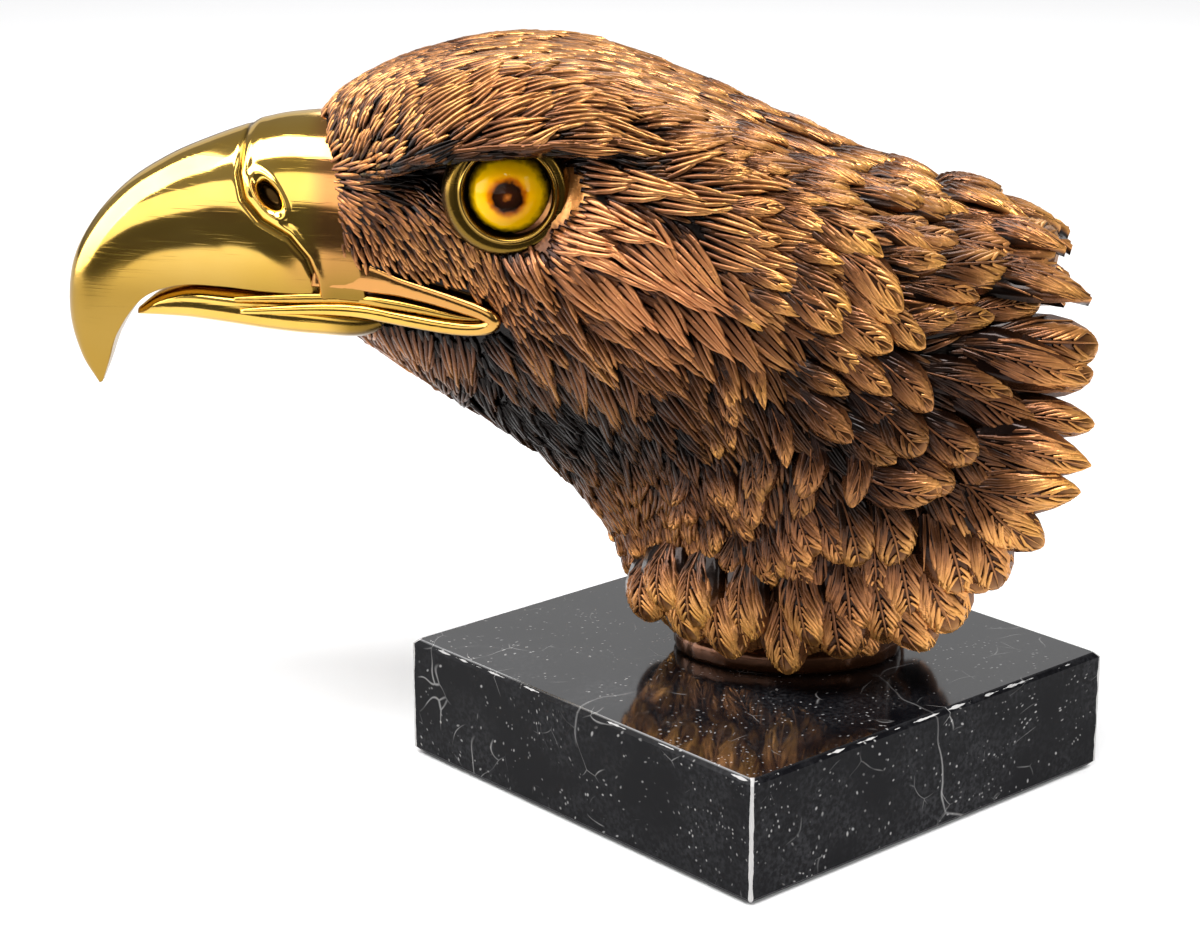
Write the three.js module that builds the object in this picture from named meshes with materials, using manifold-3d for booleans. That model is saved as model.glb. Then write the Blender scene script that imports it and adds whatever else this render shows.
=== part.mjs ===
// An eagle's head cast in bronze, with glass eyes, on a square marble plinth.
// Millimetres, +Z up. The origin is the middle of the plinth's underside.
// The beak points along -X, and the XZ plane is the plane of symmetry.
import * as THREE from 'three';
import { mergeVertices } from 'three/addons/utils/BufferGeometryUtils.js';
import Module from 'manifold-3d';

const wasm = await Module();
wasm.setup();

// Driving dimensions of the plinth, which stands corner on to the beak
const plinthSide = 120;
const plinthThickness = 30;
const plinthBevel = 1.2;

// Driving dimensions of the casting
const bustLength = 245;
const featherWidth = 18;
const featherThickness = 2.4;
const featherLift = 3.4;
const footLength = 52;
const footWidth = 37;
const lipHeight = 5;
const lipProud = 1.7;
const nostrilLength = 9.5;
const nostrilWidth = 4.6;
const nostrilDepth = 4;

// Driving dimensions of the eyes
const eyeDiameter = 21;
const socketClearance = 0.3;
const lidWidth = 3.2;

// The lines below are drawn for a bust of this length, as shares of it, and are scaled to bustLength.
const drawnLength = 245;
const scale = bustLength / drawnLength;
const drawnFloor = 30;

// Net of the head and neck: from throat to crown, seven points at each of seven stations from the
// face to the neck's end. Each is x, half-width, z as drawn, and Catmull-Rom curves run through them.
const net = [
  [[-105, 0, 110.5], [-96, 0, 107.5], [-76, 0, 94], [-52, 0, 78], [-36, 0, 60], [-30.5, 0, 49], [-25, 0, 42]],
  [[-103.3, 11, 118.8], [-94, 14.5, 115.8], [-74, 18, 110.9], [-42.5, 23.5, 98.8], [-17.3, 27.5, 76],
    [-3.8, 28.5, 57.1], [4.8, 26, 48.5]],
  [[-102.7, 15.5, 128.8], [-93.2, 20, 128.9], [-73.2, 26, 128.4], [-39.9, 35, 121.1], [-5.6, 41.5, 99.3],
    [16.9, 42, 74.1], [30.3, 37, 58.2]],
  [[-103.1, 15.5, 136.6], [-94, 21.5, 140.9], [-73.7, 29.5, 146.5], [-41.7, 37, 140.6], [-2.8, 44, 123.5],
    [31.8, 45, 100.4], [53, 37, 83.8]],
  [[-103.9, 13.5, 145.9], [-95.2, 20, 154.1], [-74.7, 29, 162.7], [-43.8, 34, 161.8], [-7.6, 39, 150.5],
    [32, 41, 133.1], [61, 33, 109.2]],
  [[-105.1, 9, 154.8], [-95.9, 15, 165.8], [-76.5, 22, 175.4], [-46.3, 25, 177.3], [-13.5, 27, 166.1],
    [25, 27, 146.9], [58.9, 24, 127.9]],
  [[-107, 0, 160], [-98, 0, 170], [-80, 0, 177.5], [-50, 0, 179.3], [-18, 0, 171], [18, 0, 152.5],
    [52, 0, 141]],
];
const stations = net[0].length - 1;
const rungs = net.length - 1;

// Which way feathers lie at each point of the net: degrees from straight back, upwards positive.
const lie = [
  [0, 0, 0, 0, 0, 0, 0],
  [0, -10, -35, -18, -21, -29, -35],
  [0, -20, -50, -22, -20, -26, -25],
  [0, -30, -60, -10, -11, 5, 16],
  [10, 10, 26, 15, 13, 26, 28],
  [24, 24, 9, 13, 8, 8, 15],
  [0, 0, 0, 0, 0, 0, 0],
];

// Places in the side view as drawn: x, z
const eyeCentre = [-57.3, 149.6];
const eyeDepth = 25;
const browLine = [[-98, 153], [-88, 154.5], [-78, 157], [-68, 158.2], [-58, 159.3], [-48, 160.8],
  [-38, 160.6], [-26, 157]];
const browStart = [-101, -88];
const browEnd = [-46, -26];
const browEdge = [-1.2, 1.6];
const browProud = 4.4;
const browSpread = 9.5;
const browHollow = 3;
const hollowSpread = 8.4;
const browMiddle = 2;
const orbitReach = [11, 19];
const orbitDepth = 3.4;
const loreCentre = [-82, 151];
const loreSpread = [9.5, 6.3];
const loreDepth = 1.5;
const cheekCentre = [-38, 132];
const cheekSpread = [22.4, 14.8];
const cheekProud = 1.2;
const gapeLine = [[-101, 124.6], [-92, 125.2], [-84, 124.8], [-76, 123.3], [-68, 121.2], [-60.5, 118.8]];
const lowerLipLine = [[-108, 117.4], [-98, 118.2], [-88, 118.2], [-79, 117.2], [-70, 116.4], [-63, 117.1],
  [-60, 118.6]];
const nostrilCentre = [-114.5, 145];
const nostrilTilt = -52;
const nostrilSide = 13.6;

// Beak in the side view as drawn: culmen point, tomial point and half-width at each station
const culmen = [[-97, 163], [-112, 161.7], [-121, 159.3], [-131, 155.8], [-141, 151.4], [-151, 145],
  [-159.5, 136], [-165, 125.5], [-166.4, 113], [-164.2, 102.5], [-160.2, 95]];
const tomium = [[-92, 120.6], [-101, 120.6], [-106, 120.7], [-116, 121], [-127, 121.9], [-137, 121.9],
  [-145, 119.4], [-150, 115], [-154.8, 107.5], [-157.3, 100.5], [-159.2, 95.6]];
const beakHalfWidth = [19, 15.7, 14.9, 13.5, 12.1, 10.6, 9, 7.4, 5.3, 3.2, 1.1];
const beakBow = [0, 4, 9, 7.5, 5, 3, 1.5, 0.5, 0, 0, 0];
const cereProud = 0.9;
const cereStation = 2;

// Lower beak as drawn: x, top z, bottom z, half-width
const mandible = [[-149.5, 114.2, 112.6, 2.2], [-144, 118.4, 112.6, 5.2], [-136, 120.9, 112.3, 7.6],
  [-126, 120.9, 111.2, 9.4], [-116, 120.4, 110, 11], [-106, 120.2, 108.8, 12.6], [-94, 120, 106, 15]];

// Foot as drawn: centre on the plinth, and how high it runs up into the neck
const footCentre = 8;
const footTop = 62;

// Place on a Catmull-Rom curve between p1 and p2
function between(p0, p1, p2, p3, t) {
  const linear = (p2 - p0) * t;
  const square = (2 * p0 - 5 * p1 + 4 * p2 - p3) * t * t;
  const cube = (3 * p1 - p0 - 3 * p2 + p3) * t * t * t;
  return 0.5 * (2 * p1 + linear + square + cube);
}

// Value of a list at a fractional index, straight on past its ends
function along(list, u) {
  const last = list.length - 1;
  const i = Math.min(Math.max(Math.floor(u), 0), last - 1);
  const before = i > 0 ? list[i - 1] : 2 * list[0] - list[1];
  const after = i < last - 1 ? list[i + 2] : 2 * list[last] - list[last - 1];
  return between(before, list[i], list[i + 1], after, u - i);
}

// The same for a list of points
function pointAlong(points, u) {
  return points[0].map((_, axis) => along(points.map((p) => p[axis]), u));
}

// Value of a net at rung a and station s. A half-width changes sign over the crown and the throat.
function netValue(grid, pick, odd, s, a) {
  const sign = odd ? -1 : 1;
  const row = (k) => {
    if (k < 0) return { row: grid[-k], sign };
    if (k > rungs) return { row: grid[2 * rungs - k], sign };
    return { row: grid[k], sign: 1 };
  };
  const j = Math.min(Math.floor(a), rungs - 1);
  const value = (k) => {
    const r = row(k);
    return r.sign * along(r.row.map(pick), s);
  };
  return between(value(j - 1), value(j), value(j + 1), value(j + 2), a - j);
}

function smoothstep(low, high, x) {
  const t = Math.min(Math.max((x - low) / (high - low), 0), 1);
  return t * t * (3 - 2 * t);
}

// Height of a line of the side view at x, straight between its points
function lineHeight(line, x) {
  for (let i = 1; i < line.length; i++) {
    if (x <= line[i][0]) {
      const t = (x - line[i - 1][0]) / (line[i][0] - line[i - 1][0]);
      return line[i - 1][1] + t * (line[i][1] - line[i - 1][1]);
    }
  }
  return line[line.length - 1][1];
}

// A smooth swelling of the side view: 1 at its centre and falling off over its spread
function swelling(x, z, [centreX, centreZ], [spreadX, spreadZ]) {
  return Math.exp(-(((x - centreX) / spreadX) ** 2) - ((z - centreZ) / spreadZ) ** 2);
}

// How far the carving stands out of the net, as a function of the side view: the brow's shelf, the
// hollow under it in front of the eye, and the fuller cheek
function relief(x, z) {
  const above = z - lineHeight(browLine, x);
  const over = smoothstep(...browEdge, above);
  const reach = smoothstep(...browStart, x) * (1 - smoothstep(...browEnd, x));
  const shelf = over * Math.exp(-(((above - browMiddle) / browSpread) ** 2));
  const hollow = (1 - over) * Math.exp(-(((above + browMiddle) / hollowSpread) ** 2));
  const lore = swelling(x, z, loreCentre, loreSpread);
  const cheek = swelling(x, z, cheekCentre, cheekSpread);
  const orbit = (1 - smoothstep(...orbitReach, Math.hypot(x - eyeCentre[0], z - eyeCentre[1]))) * (1 - over);
  const brow = reach * (browProud * shelf - browHollow * hollow);
  return brow - orbitDepth * orbit - loreDepth * lore + cheekProud * cheek;
}

// A point of the net's surface as drawn: s from 0 at the face to 6 at the neck's end, a from 0 at
// the throat over 6 at the crown to 12 at the throat again, near side first, which is -Y.
function bareSkin(s, a) {
  const turn = ((a % (2 * rungs)) + 2 * rungs) % (2 * rungs);
  const far = turn > rungs;
  const rung = far ? 2 * rungs - turn : turn;
  const inside = Math.min(Math.max(s, 0), stations);
  const at = (t) => [
    netValue(net, (p) => p[0], false, t, rung),
    netValue(net, (p) => p[1], true, t, rung) * (far ? 1 : -1),
    netValue(net, (p) => p[2], false, t, rung),
  ];
  const p = new THREE.Vector3(...at(inside));
  if (s !== inside) {
    const step = 0.01;
    const q = new THREE.Vector3(...at(inside + (s > inside ? -step : step)));
    p.addScaledVector(p.clone().sub(q), Math.abs(s - inside) / step);
  }
  return p;
}

// The outward normal and the two tangents of the net's surface
function frameAt(s, a) {
  const step = 0.02;
  const ds = bareSkin(s + step, a).sub(bareSkin(s - step, a)).divideScalar(2 * step);
  const da = bareSkin(s, a + step).sub(bareSkin(s, a - step)).divideScalar(2 * step);
  const normal = new THREE.Vector3().crossVectors(ds, da).normalize();
  return { ds, da, normal };
}

// The carved surface, with a height above it
function skin(s, a, height = 0) {
  const p = bareSkin(s, a);
  const { normal } = frameAt(s, a);
  return p.addScaledVector(normal, relief(p.x, p.z) + height);
}

// Where the near side shows at x, z of the side view, by stepping from the nearest of a few places
function placeOf(x, z) {
  let s = 0;
  let a = 0;
  let best = Infinity;
  for (let i = 0; i <= 24; i++) {
    for (let j = 2; j <= 22; j++) {
      const p = bareSkin(i / 4, j / 4);
      const miss = (p.x - x) ** 2 + (p.z - z) ** 2;
      if (miss < best) {
        best = miss;
        s = i / 4;
        a = j / 4;
      }
    }
  }
  for (let round = 0; round < 12; round++) {
    const p = bareSkin(s, a);
    const { ds, da } = frameAt(s, a);
    const det = ds.x * da.z - ds.z * da.x;
    const mx = x - p.x;
    const mz = z - p.z;
    s += 0.8 * (mx * da.z - mz * da.x) / det;
    a += 0.8 * (ds.x * mz - ds.z * mx) / det;
  }
  return { s, a };
}

// From the drawn bust to the real one: scaled about the middle of its foot, and set on the plinth
function place(p) {
  return [p.x * scale, p.y * scale, plinthThickness + (p.z - drawnFloor) * scale];
}

// A closed solid from points and triangles
function solid(points, triangles) {
  const mesh = new wasm.Mesh({
    numProp: 3,
    vertProperties: new Float32Array(points.flat()),
    triVerts: new Uint32Array(triangles.flat()),
  });
  return new wasm.Manifold(mesh);
}

// A closed solid from a three.js geometry
function solidOf(geometry) {
  const bare = geometry.clone();
  bare.deleteAttribute('normal');
  bare.deleteAttribute('uv');
  const merged = mergeVertices(bare, 1e-4);
  return new wasm.Manifold(new wasm.Mesh({
    numProp: 3,
    vertProperties: new Float32Array(merged.attributes.position.array),
    triVerts: new Uint32Array(merged.index.array),
  }));
}

// A closed solid from rings of points, each ring closed. A fan caps the first ring. So it does the
// last, unless a bulge is given: then strips run across from each point to its fellow on the far side.
const acrossSteps = 2;
function ringSolid(rings, bulge = 0) {
  const points = rings.flat();
  const count = rings[0].length;
  const triangles = [];
  for (let i = 0; i + 1 < rings.length; i++) {
    for (let j = 0; j < count; j++) {
      const p = i * count + j;
      const q = i * count + (j + 1) % count;
      triangles.push([p, q, q + count], [p, q + count, p + count]);
    }
  }
  const last = (rings.length - 1) * count;
  const half = count / 2;
  for (let j = 1; j + 1 < count; j++) {
    triangles.push([0, j + 1, j]);
    if (!bulge) triangles.push([last, last + j, last + j + 1]);
  }
  const strip = (j) => {
    if (j === 0 || j === half) return Array(acrossSteps + 1).fill(last + j);
    const [x, y, z] = points[last + j];
    const [beforeX, , beforeZ] = points[last + j - 1];
    const [afterX, , afterZ] = points[last + j + 1];
    const run = Math.hypot(afterX - beforeX, afterZ - beforeZ);
    const ids = [last + j];
    for (let k = 1; k < acrossSteps; k++) {
      const t = 2 * k / acrossSteps - 1;
      const out = bulge * (1 - t * t) * Math.sqrt(Math.sin(Math.PI * j / half)) / run;
      ids.push(points.length);
      points.push([x + out * (afterZ - beforeZ), -y * t, z - out * (afterX - beforeX)]);
    }
    return [...ids, last + count - j];
  };
  if (bulge) {
    let before = strip(0);
    for (let j = 1; j <= half; j++) {
      const after = strip(j);
      for (let k = 0; k < acrossSteps; k++) {
        if (before[k] !== before[k + 1]) triangles.push([before[k], after[k + 1], before[k + 1]]);
        if (after[k] !== after[k + 1]) triangles.push([before[k], after[k], after[k + 1]]);
      }
      before = after;
    }
  }
  const made = solid(points, triangles);
  return made.volume() < 0 ? solid(points, triangles.map(([p, q, r]) => [p, r, q])) : made;
}

function mirrored(body) {
  return body.mirror([0, 1, 0]);
}

// Stations and rungs of the head's faces: close over the face, wide apart towards the neck
function spread(from, to, count) {
  return Array.from({ length: count }, (_, i) => from + (to - from) * i / count);
}
const belowBrow = [...spread(0, 0.5, 4), ...spread(0.5, 0.97, 7), 0.97];
const aboveBrow = [0.03, 0.25, 0.5, 0.75];
function browRung(s) {
  let low = 3;
  let high = 5;
  for (let i = 0; i < 20; i++) {
    const middle = (low + high) / 2;
    const p = bareSkin(s, middle);
    if (p.z < lineHeight(browLine, p.x)) low = middle;
    else high = middle;
  }
  return low;
}
function headRungs(s) {
  const brow = browRung(s);
  const side = [...belowBrow.map((u) => u * brow), ...aboveBrow.map((u) => brow + u * (rungs - brow))];
  return [...side, rungs, ...side.slice(1).reverse().map((a) => 2 * rungs - a)];
}
const collarStation = 3.2;
const underCollar = 3;

// The head from the face, inside the cere, to where the neck's first feathers cover it
function headSolid() {
  const seen = [...spread(0, 1, 5), ...spread(1, collarStation, 13), collarStation + 0.1];
  const rings = seen.map((s) => headRungs(s).map((a) => place(skin(s, a))));
  const under = collarStation + 0.25;
  rings.push(headRungs(under).map((a) => place(skin(under, a, -underCollar / scale))));
  return ringSolid(rings);
}

// Where a line that follows the lie of the feathers passes station s, if it passes station `from` at a
const lieShare = 0.5;
function drift(a, from, s) {
  const count = Math.max(1, Math.ceil(Math.abs(s - from) / 0.1));
  const step = (s - from) / count;
  let rung = a;
  for (let i = 0; i < count; i++) {
    const at = from + i * step;
    const { ds, da } = frameAt(Math.min(at, stations), rung);
    const turn = lieShare * netValue(lie, (v) => v, true, Math.min(at, stations), rung);
    rung += step * Math.tan(THREE.MathUtils.degToRad(turn)) * ds.length() / da.length();
    rung = Math.min(Math.max(rung, 0), rungs);
  }
  return rung;
}

// Rungs that share one side of the neck at station s into equal lengths
function evenRungs(s, count) {
  const samples = 60;
  const lengths = [0];
  for (let i = 1; i <= samples; i++) {
    const from = skin(s, (i - 1) * rungs / samples);
    lengths.push(lengths[i - 1] + from.distanceTo(skin(s, i * rungs / samples)));
  }
  return Array.from({ length: count + 1 }, (_, k) => {
    const goal = lengths[samples] * k / count;
    let i = 1;
    while (i < samples && lengths[i] < goal) i++;
    return (i - 1 + (goal - lengths[i - 1]) / (lengths[i] - lengths[i - 1])) * rungs / samples;
  });
}

// A row of feathers is a scalloped edge. Across one feather, from gap to gap, these are how far its
// edge reaches towards the tip and how high it stands, the shaft highest.
const featherColumns = 6;
const edgeReach = [0, 0.5, 0.88, 1, 0.88, 0.5];
const edgeHeight = [0.35, 0.8, 0.95, 1.25, 0.95, 0.8];

// The feathered neck: every row's edge stands up from the skin and drops back to it behind its tips
const featherRows = 6;
const firstRow = 3.45;
const endRow = 6.08;
const rowReach = 0.26;
const rowDrop = 0.03;
const rowTuck = 0.5;
const collarProud = 0.25;
const endReach = 0.45;
const hangReach = 0.48;
const endBulge = 9;
const girthStation = 5.3;
const featherOverlap = 0.86;
function neckFeathers() {
  const side = evenRungs(girthStation, 10).map((a) => skin(girthStation, a));
  const girth = side.slice(1).reduce((sum, p, i) => sum + side[i].distanceTo(p), 0);
  const perSide = Math.round(girth * scale / (featherWidth * featherOverlap));
  const columns = perSide * featherColumns;
  const marks = evenRungs(girthStation, columns);
  const ring = (s, row, reach, high, low) => {
    const near = marks.map((mark, k) => {
      const column = (k + (row % 2) * featherColumns / 2) % featherColumns;
      const at = s + reach(mark) * edgeReach[column];
      return place(skin(at, drift(mark, girthStation, at), low + high * edgeHeight[column]));
    });
    const far = near.slice(1, -1).reverse().map(([x, y, z]) => [x, -y, z]);
    return [...near, ...far];
  };
  const none = () => 0;
  const rings = [ring(collarStation - rowDrop, 0, none, 0, -underCollar / scale),
    ring(collarStation, 0, none, 0, collarProud / scale)];
  for (let row = 0; row < featherRows; row++) {
    const t = row / (featherRows - 1);
    const s = firstRow + (endRow - firstRow) * t ** 0.9;
    const lift = featherLift * (0.6 + 0.4 * t) / scale;
    const hang = (mark) => endReach + hangReach * Math.sin(Math.PI * Math.min(1, mark / 2.8));
    const reach = row === featherRows - 1 ? hang : () => rowReach;
    rings.push(ring(s, row, reach, lift, 0));
    if (row < featherRows - 1) rings.push(ring(s - rowDrop, row, reach, 0, -rowTuck / scale));
    else rings.push(ring(s - rowDrop, row, reach, lift, -featherThickness / scale));
  }
  rings.push(ring(stations - 0.2, 0, none, 0, -featherThickness / scale));
  return ringSolid(rings, endBulge);
}

// The beak's section: from the culmen round one side to the tomial edge, as a share of half-width
const beakSteps = [1, 0.97, 0.88, 0.72, 0.52, 0.3, 0.12, 0];
function beakSection(a) {
  const widest = 0.36;
  if (a > widest) return Math.sqrt(Math.max(0, 1 - ((a - widest) / (1 - widest)) ** 2.5));
  return 1 - 0.13 * ((widest - a) / widest) ** 1.7;
}
function beakPoint(t, a, side, proud) {
  const [cx, cz] = pointAlong(culmen, t);
  const [tx, tz] = pointAlong(tomium, t);
  const width = along(beakHalfWidth, t) + proud;
  const bow = Math.max(0, along(beakBow, t)) * 4 * a * (1 - a);
  const out = new THREE.Vector3(cx - tx, 0, cz - tz).normalize().multiplyScalar(proud * a);
  const x = tx + a * (cx - tx) - bow + out.x;
  const z = tz + a * (cz - tz) + out.z;
  return new THREE.Vector3(x, side * width * beakSection(a), z);
}
function beakSolid(from, to, steps, proud) {
  const rings = [];
  for (let i = 0; i <= steps; i++) {
    const t = from + (to - from) * i / steps;
    const near = beakSteps.map((a) => place(beakPoint(t, a, -1, proud)));
    const palate = beakPoint(t, 0.05, 0, proud);
    const far = beakSteps.slice(1).reverse().map((a) => place(beakPoint(t, a, 1, proud)));
    rings.push([...near, place(palate), ...far]);
  }
  return ringSolid(rings);
}

// The lower beak: flat on top, where it meets the upper beak, and round below
function mandibleSolid() {
  const sides = 8;
  const rings = mandible.map(([x, top, bottom, width]) => {
    const ring = [];
    for (let j = 0; j <= sides; j++) {
      const angle = Math.PI * j / sides;
      const y = -width * Math.cos(angle);
      ring.push(place(new THREE.Vector3(x, y, top - (top - bottom) * Math.sin(angle) ** 0.8)));
    }
    return ring;
  });
  return ringSolid(rings);
}

// A lip: a rounded band along a line of the side view, laid on the near side
function lip(line, height, proud) {
  const sides = 6;
  const steps = 8;
  const rings = [];
  for (let i = 0; i <= steps; i++) {
    const u = (line.length - 1) * i / steps;
    const [x, z] = pointAlong(line, u);
    const [bx, bz] = pointAlong(line, Math.max(0, u - 0.1));
    const [ax, az] = pointAlong(line, Math.min(line.length - 1, u + 0.1));
    const across = new THREE.Vector2(-(az - bz), ax - bx).normalize();
    const grow = 0.45 + 0.55 * Math.sqrt(Math.sin(Math.PI * Math.min(0.5, 0.04 + i / steps)));
    const end = 0.5 + 0.5 * Math.sqrt(1 - (i / steps) ** 6);
    const ring = [];
    for (let j = 0; j < sides; j++) {
      const angle = 2 * Math.PI * (j + 0.5) / sides;
      const w = 0.5 * height * grow * end * Math.cos(angle) / scale;
      const h = (proud * Math.sin(angle) * 1.6 + proud * 0.1) / scale;
      const spot = placeOf(x + across.x * w, z + across.y * w);
      ring.push(place(skin(spot.s, spot.a, h)));
    }
    rings.push(ring);
  }
  return ringSolid(rings);
}

// The eye's ball, and what is turned or cut about the same centre
const eyeRadius = eyeDiameter / 2;
const eyePlace = place(new THREE.Vector3(eyeCentre[0], -eyeDepth, eyeCentre[1]));
const ballSides = 16;
const ballRings = 9;
function ball(radius, side) {
  const geometry = new THREE.SphereGeometry(radius, ballSides, ballRings);
  geometry.translate(eyePlace[0], -side * eyePlace[1], eyePlace[2]);
  return geometry;
}

// The lids: a raised ring round the eye, its opening narrower than the ball
const lidOpening = eyeRadius - 0.6;
function lidSolid() {
  const profile = [[lidOpening, 0], [lidOpening, 0.5], [lidOpening + 0.4, 0.63],
    [lidOpening + 0.5 * lidWidth, 0.66], [lidOpening + lidWidth, 0.5], [lidOpening + 1.1 * lidWidth, 0]];
  const points = profile.map(([r, h]) => new THREE.Vector2(r, h * eyeRadius));
  points.push(points[0]);
  const ring = new THREE.LatheGeometry(points, ballSides);
  ring.rotateX(Math.PI);
  ring.translate(eyePlace[0], eyePlace[1], eyePlace[2]);
  return ringTurned(ring);
}

// What is cleared in front of the ball: a round opening as far up as the brow
function eyeOpening() {
  const reach = 2 * eyeRadius;
  const opening = new THREE.CylinderGeometry(lidOpening, lidOpening, reach, ballSides);
  opening.translate(eyePlace[0], eyePlace[1] - reach / 2, eyePlace[2]);
  const brow = place(new THREE.Vector3(eyeCentre[0], 0, lineHeight(browLine, eyeCentre[0]) - 1.4));
  const guard = new THREE.BoxGeometry(4 * eyeRadius, 6 * eyeRadius, eyeRadius);
  guard.translate(eyePlace[0], eyePlace[1] - reach / 2, brow[2] + eyeRadius / 2);
  return solidOf(opening).subtract(solidOf(guard));
}
function ringTurned(geometry) {
  const made = solidOf(geometry);
  if (made.volume() > 0) return made;
  const flipped = geometry.clone();
  const index = flipped.index.array;
  for (let i = 0; i < index.length; i += 3) [index[i], index[i + 1]] = [index[i + 1], index[i]];
  return solidOf(flipped);
}

// A nostril: a slanted oval hollow in the cere
function nostrilSolid() {
  const geometry = new THREE.SphereGeometry(1, 10, 6);
  geometry.scale(nostrilLength / 2, nostrilDepth, nostrilWidth / 2);
  geometry.rotateY(THREE.MathUtils.degToRad(-nostrilTilt));
  const [x, z] = nostrilCentre;
  const at = place(new THREE.Vector3(x, -nostrilSide, z));
  geometry.translate(...at);
  return solidOf(geometry);
}

// The foot: an oval pad on the plinth that flares up into the neck
function footSolid() {
  const sides = 16;
  const levels = [[0, 1], [0.3, 0.9], [1, 0.95]];
  const rings = levels.map(([h, size]) => {
    const ring = [];
    for (let j = 0; j < sides; j++) {
      const angle = 2 * Math.PI * j / sides;
      const x = footCentre * scale + 0.5 * footLength * size * Math.cos(angle);
      const y = 0.5 * footWidth * size * Math.sin(angle);
      ring.push([x, y, plinthThickness + (footTop - drawnFloor) * scale * h]);
    }
    return ring;
  });
  return ringSolid(rings);
}

function castHead() {
  const lips = [lip(gapeLine, lipHeight, lipProud), lip(lowerLipLine, 0.75 * lipHeight, lipProud)];
  const beak = [beakSolid(1.2, 10, 16, 0), beakSolid(0, cereStation, 3, cereProud / scale), mandibleSolid()];
  const pairs = [...lips, lidSolid()];
  const whole = wasm.Manifold.union([headSolid(), neckFeathers(), ...beak, ...pairs, ...pairs.map(mirrored),
    footSolid()]);
  const socket = solidOf(ball(eyeRadius + socketClearance, 1)).add(eyeOpening());
  const nostril = nostrilSolid();
  const cut = wasm.Manifold.union([socket, mirrored(socket), nostril, mirrored(nostril)]);
  return whole.subtract(cut);
}

function plinthGeometry() {
  const edge = plinthSide / 2 - plinthBevel;
  const square = new THREE.Shape();
  square.moveTo(-edge, -edge);
  square.lineTo(edge, -edge);
  square.lineTo(edge, edge);
  square.lineTo(-edge, edge);
  const geometry = new THREE.ExtrudeGeometry(square, {
    depth: plinthThickness - 2 * plinthBevel,
    bevelSize: plinthBevel,
    bevelThickness: plinthBevel,
    bevelSegments: 1,
  });
  geometry.translate(0, 0, plinthBevel);
  geometry.rotateZ(Math.PI / 4);
  return geometry;
}

function geometryOf(body) {
  const mesh = body.getMesh();
  const geometry = new THREE.BufferGeometry();
  geometry.setAttribute('position', new THREE.BufferAttribute(new Float32Array(mesh.vertProperties), 3));
  geometry.setIndex([...mesh.triVerts]);
  return geometry;
}

const bronze = new THREE.MeshStandardMaterial({ color: 0x7a4a20, roughness: 0.42, metalness: 1 });
const marble = new THREE.MeshStandardMaterial({ color: 0x17171a, roughness: 0.12, metalness: 0 });
const glass = new THREE.MeshStandardMaterial({ color: 0xe0a800, roughness: 0.03, metalness: 0 });

function named(name, geometry, material) {
  const mesh = new THREE.Mesh(geometry, material);
  mesh.name = name;
  return mesh;
}

const sculpture = new THREE.Group();
sculpture.add(named('marble_plinth', plinthGeometry(), marble));
sculpture.add(named('bronze_eagle_head', geometryOf(castHead()), bronze));
sculpture.add(named('left_glass_eye', ball(eyeRadius, 1), glass));
sculpture.add(named('right_glass_eye', ball(eyeRadius, -1), glass));

export default sculpture;
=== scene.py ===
"""The looks of the eagle's head: feathers, beak, eyes, marble, stage, lights and camera."""
import functools
import math

import bpy
import numpy as np
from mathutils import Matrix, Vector


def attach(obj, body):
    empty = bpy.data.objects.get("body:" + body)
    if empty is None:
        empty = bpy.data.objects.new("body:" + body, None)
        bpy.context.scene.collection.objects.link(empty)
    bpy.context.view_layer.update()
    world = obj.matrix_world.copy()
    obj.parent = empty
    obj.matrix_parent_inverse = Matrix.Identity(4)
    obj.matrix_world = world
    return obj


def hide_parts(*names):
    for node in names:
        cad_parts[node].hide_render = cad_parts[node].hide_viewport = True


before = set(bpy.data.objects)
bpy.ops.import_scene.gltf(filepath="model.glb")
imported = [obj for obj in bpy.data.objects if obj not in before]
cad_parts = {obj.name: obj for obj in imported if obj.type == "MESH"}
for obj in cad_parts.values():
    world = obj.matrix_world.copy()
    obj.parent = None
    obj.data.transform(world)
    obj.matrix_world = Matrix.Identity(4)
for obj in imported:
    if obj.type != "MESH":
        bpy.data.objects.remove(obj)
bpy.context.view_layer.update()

bl_info = {
    "name": "Eagle's Head",
    "version": (1, 0, 0),
    "blender": (4, 5, 0),
    "location": "3D View > Sidebar > Eagle's Head",
    "description": "Dresses the cast eagle's head and its marble plinth",
    "category": "Add Mesh",
}

MM = 0.001

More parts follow.
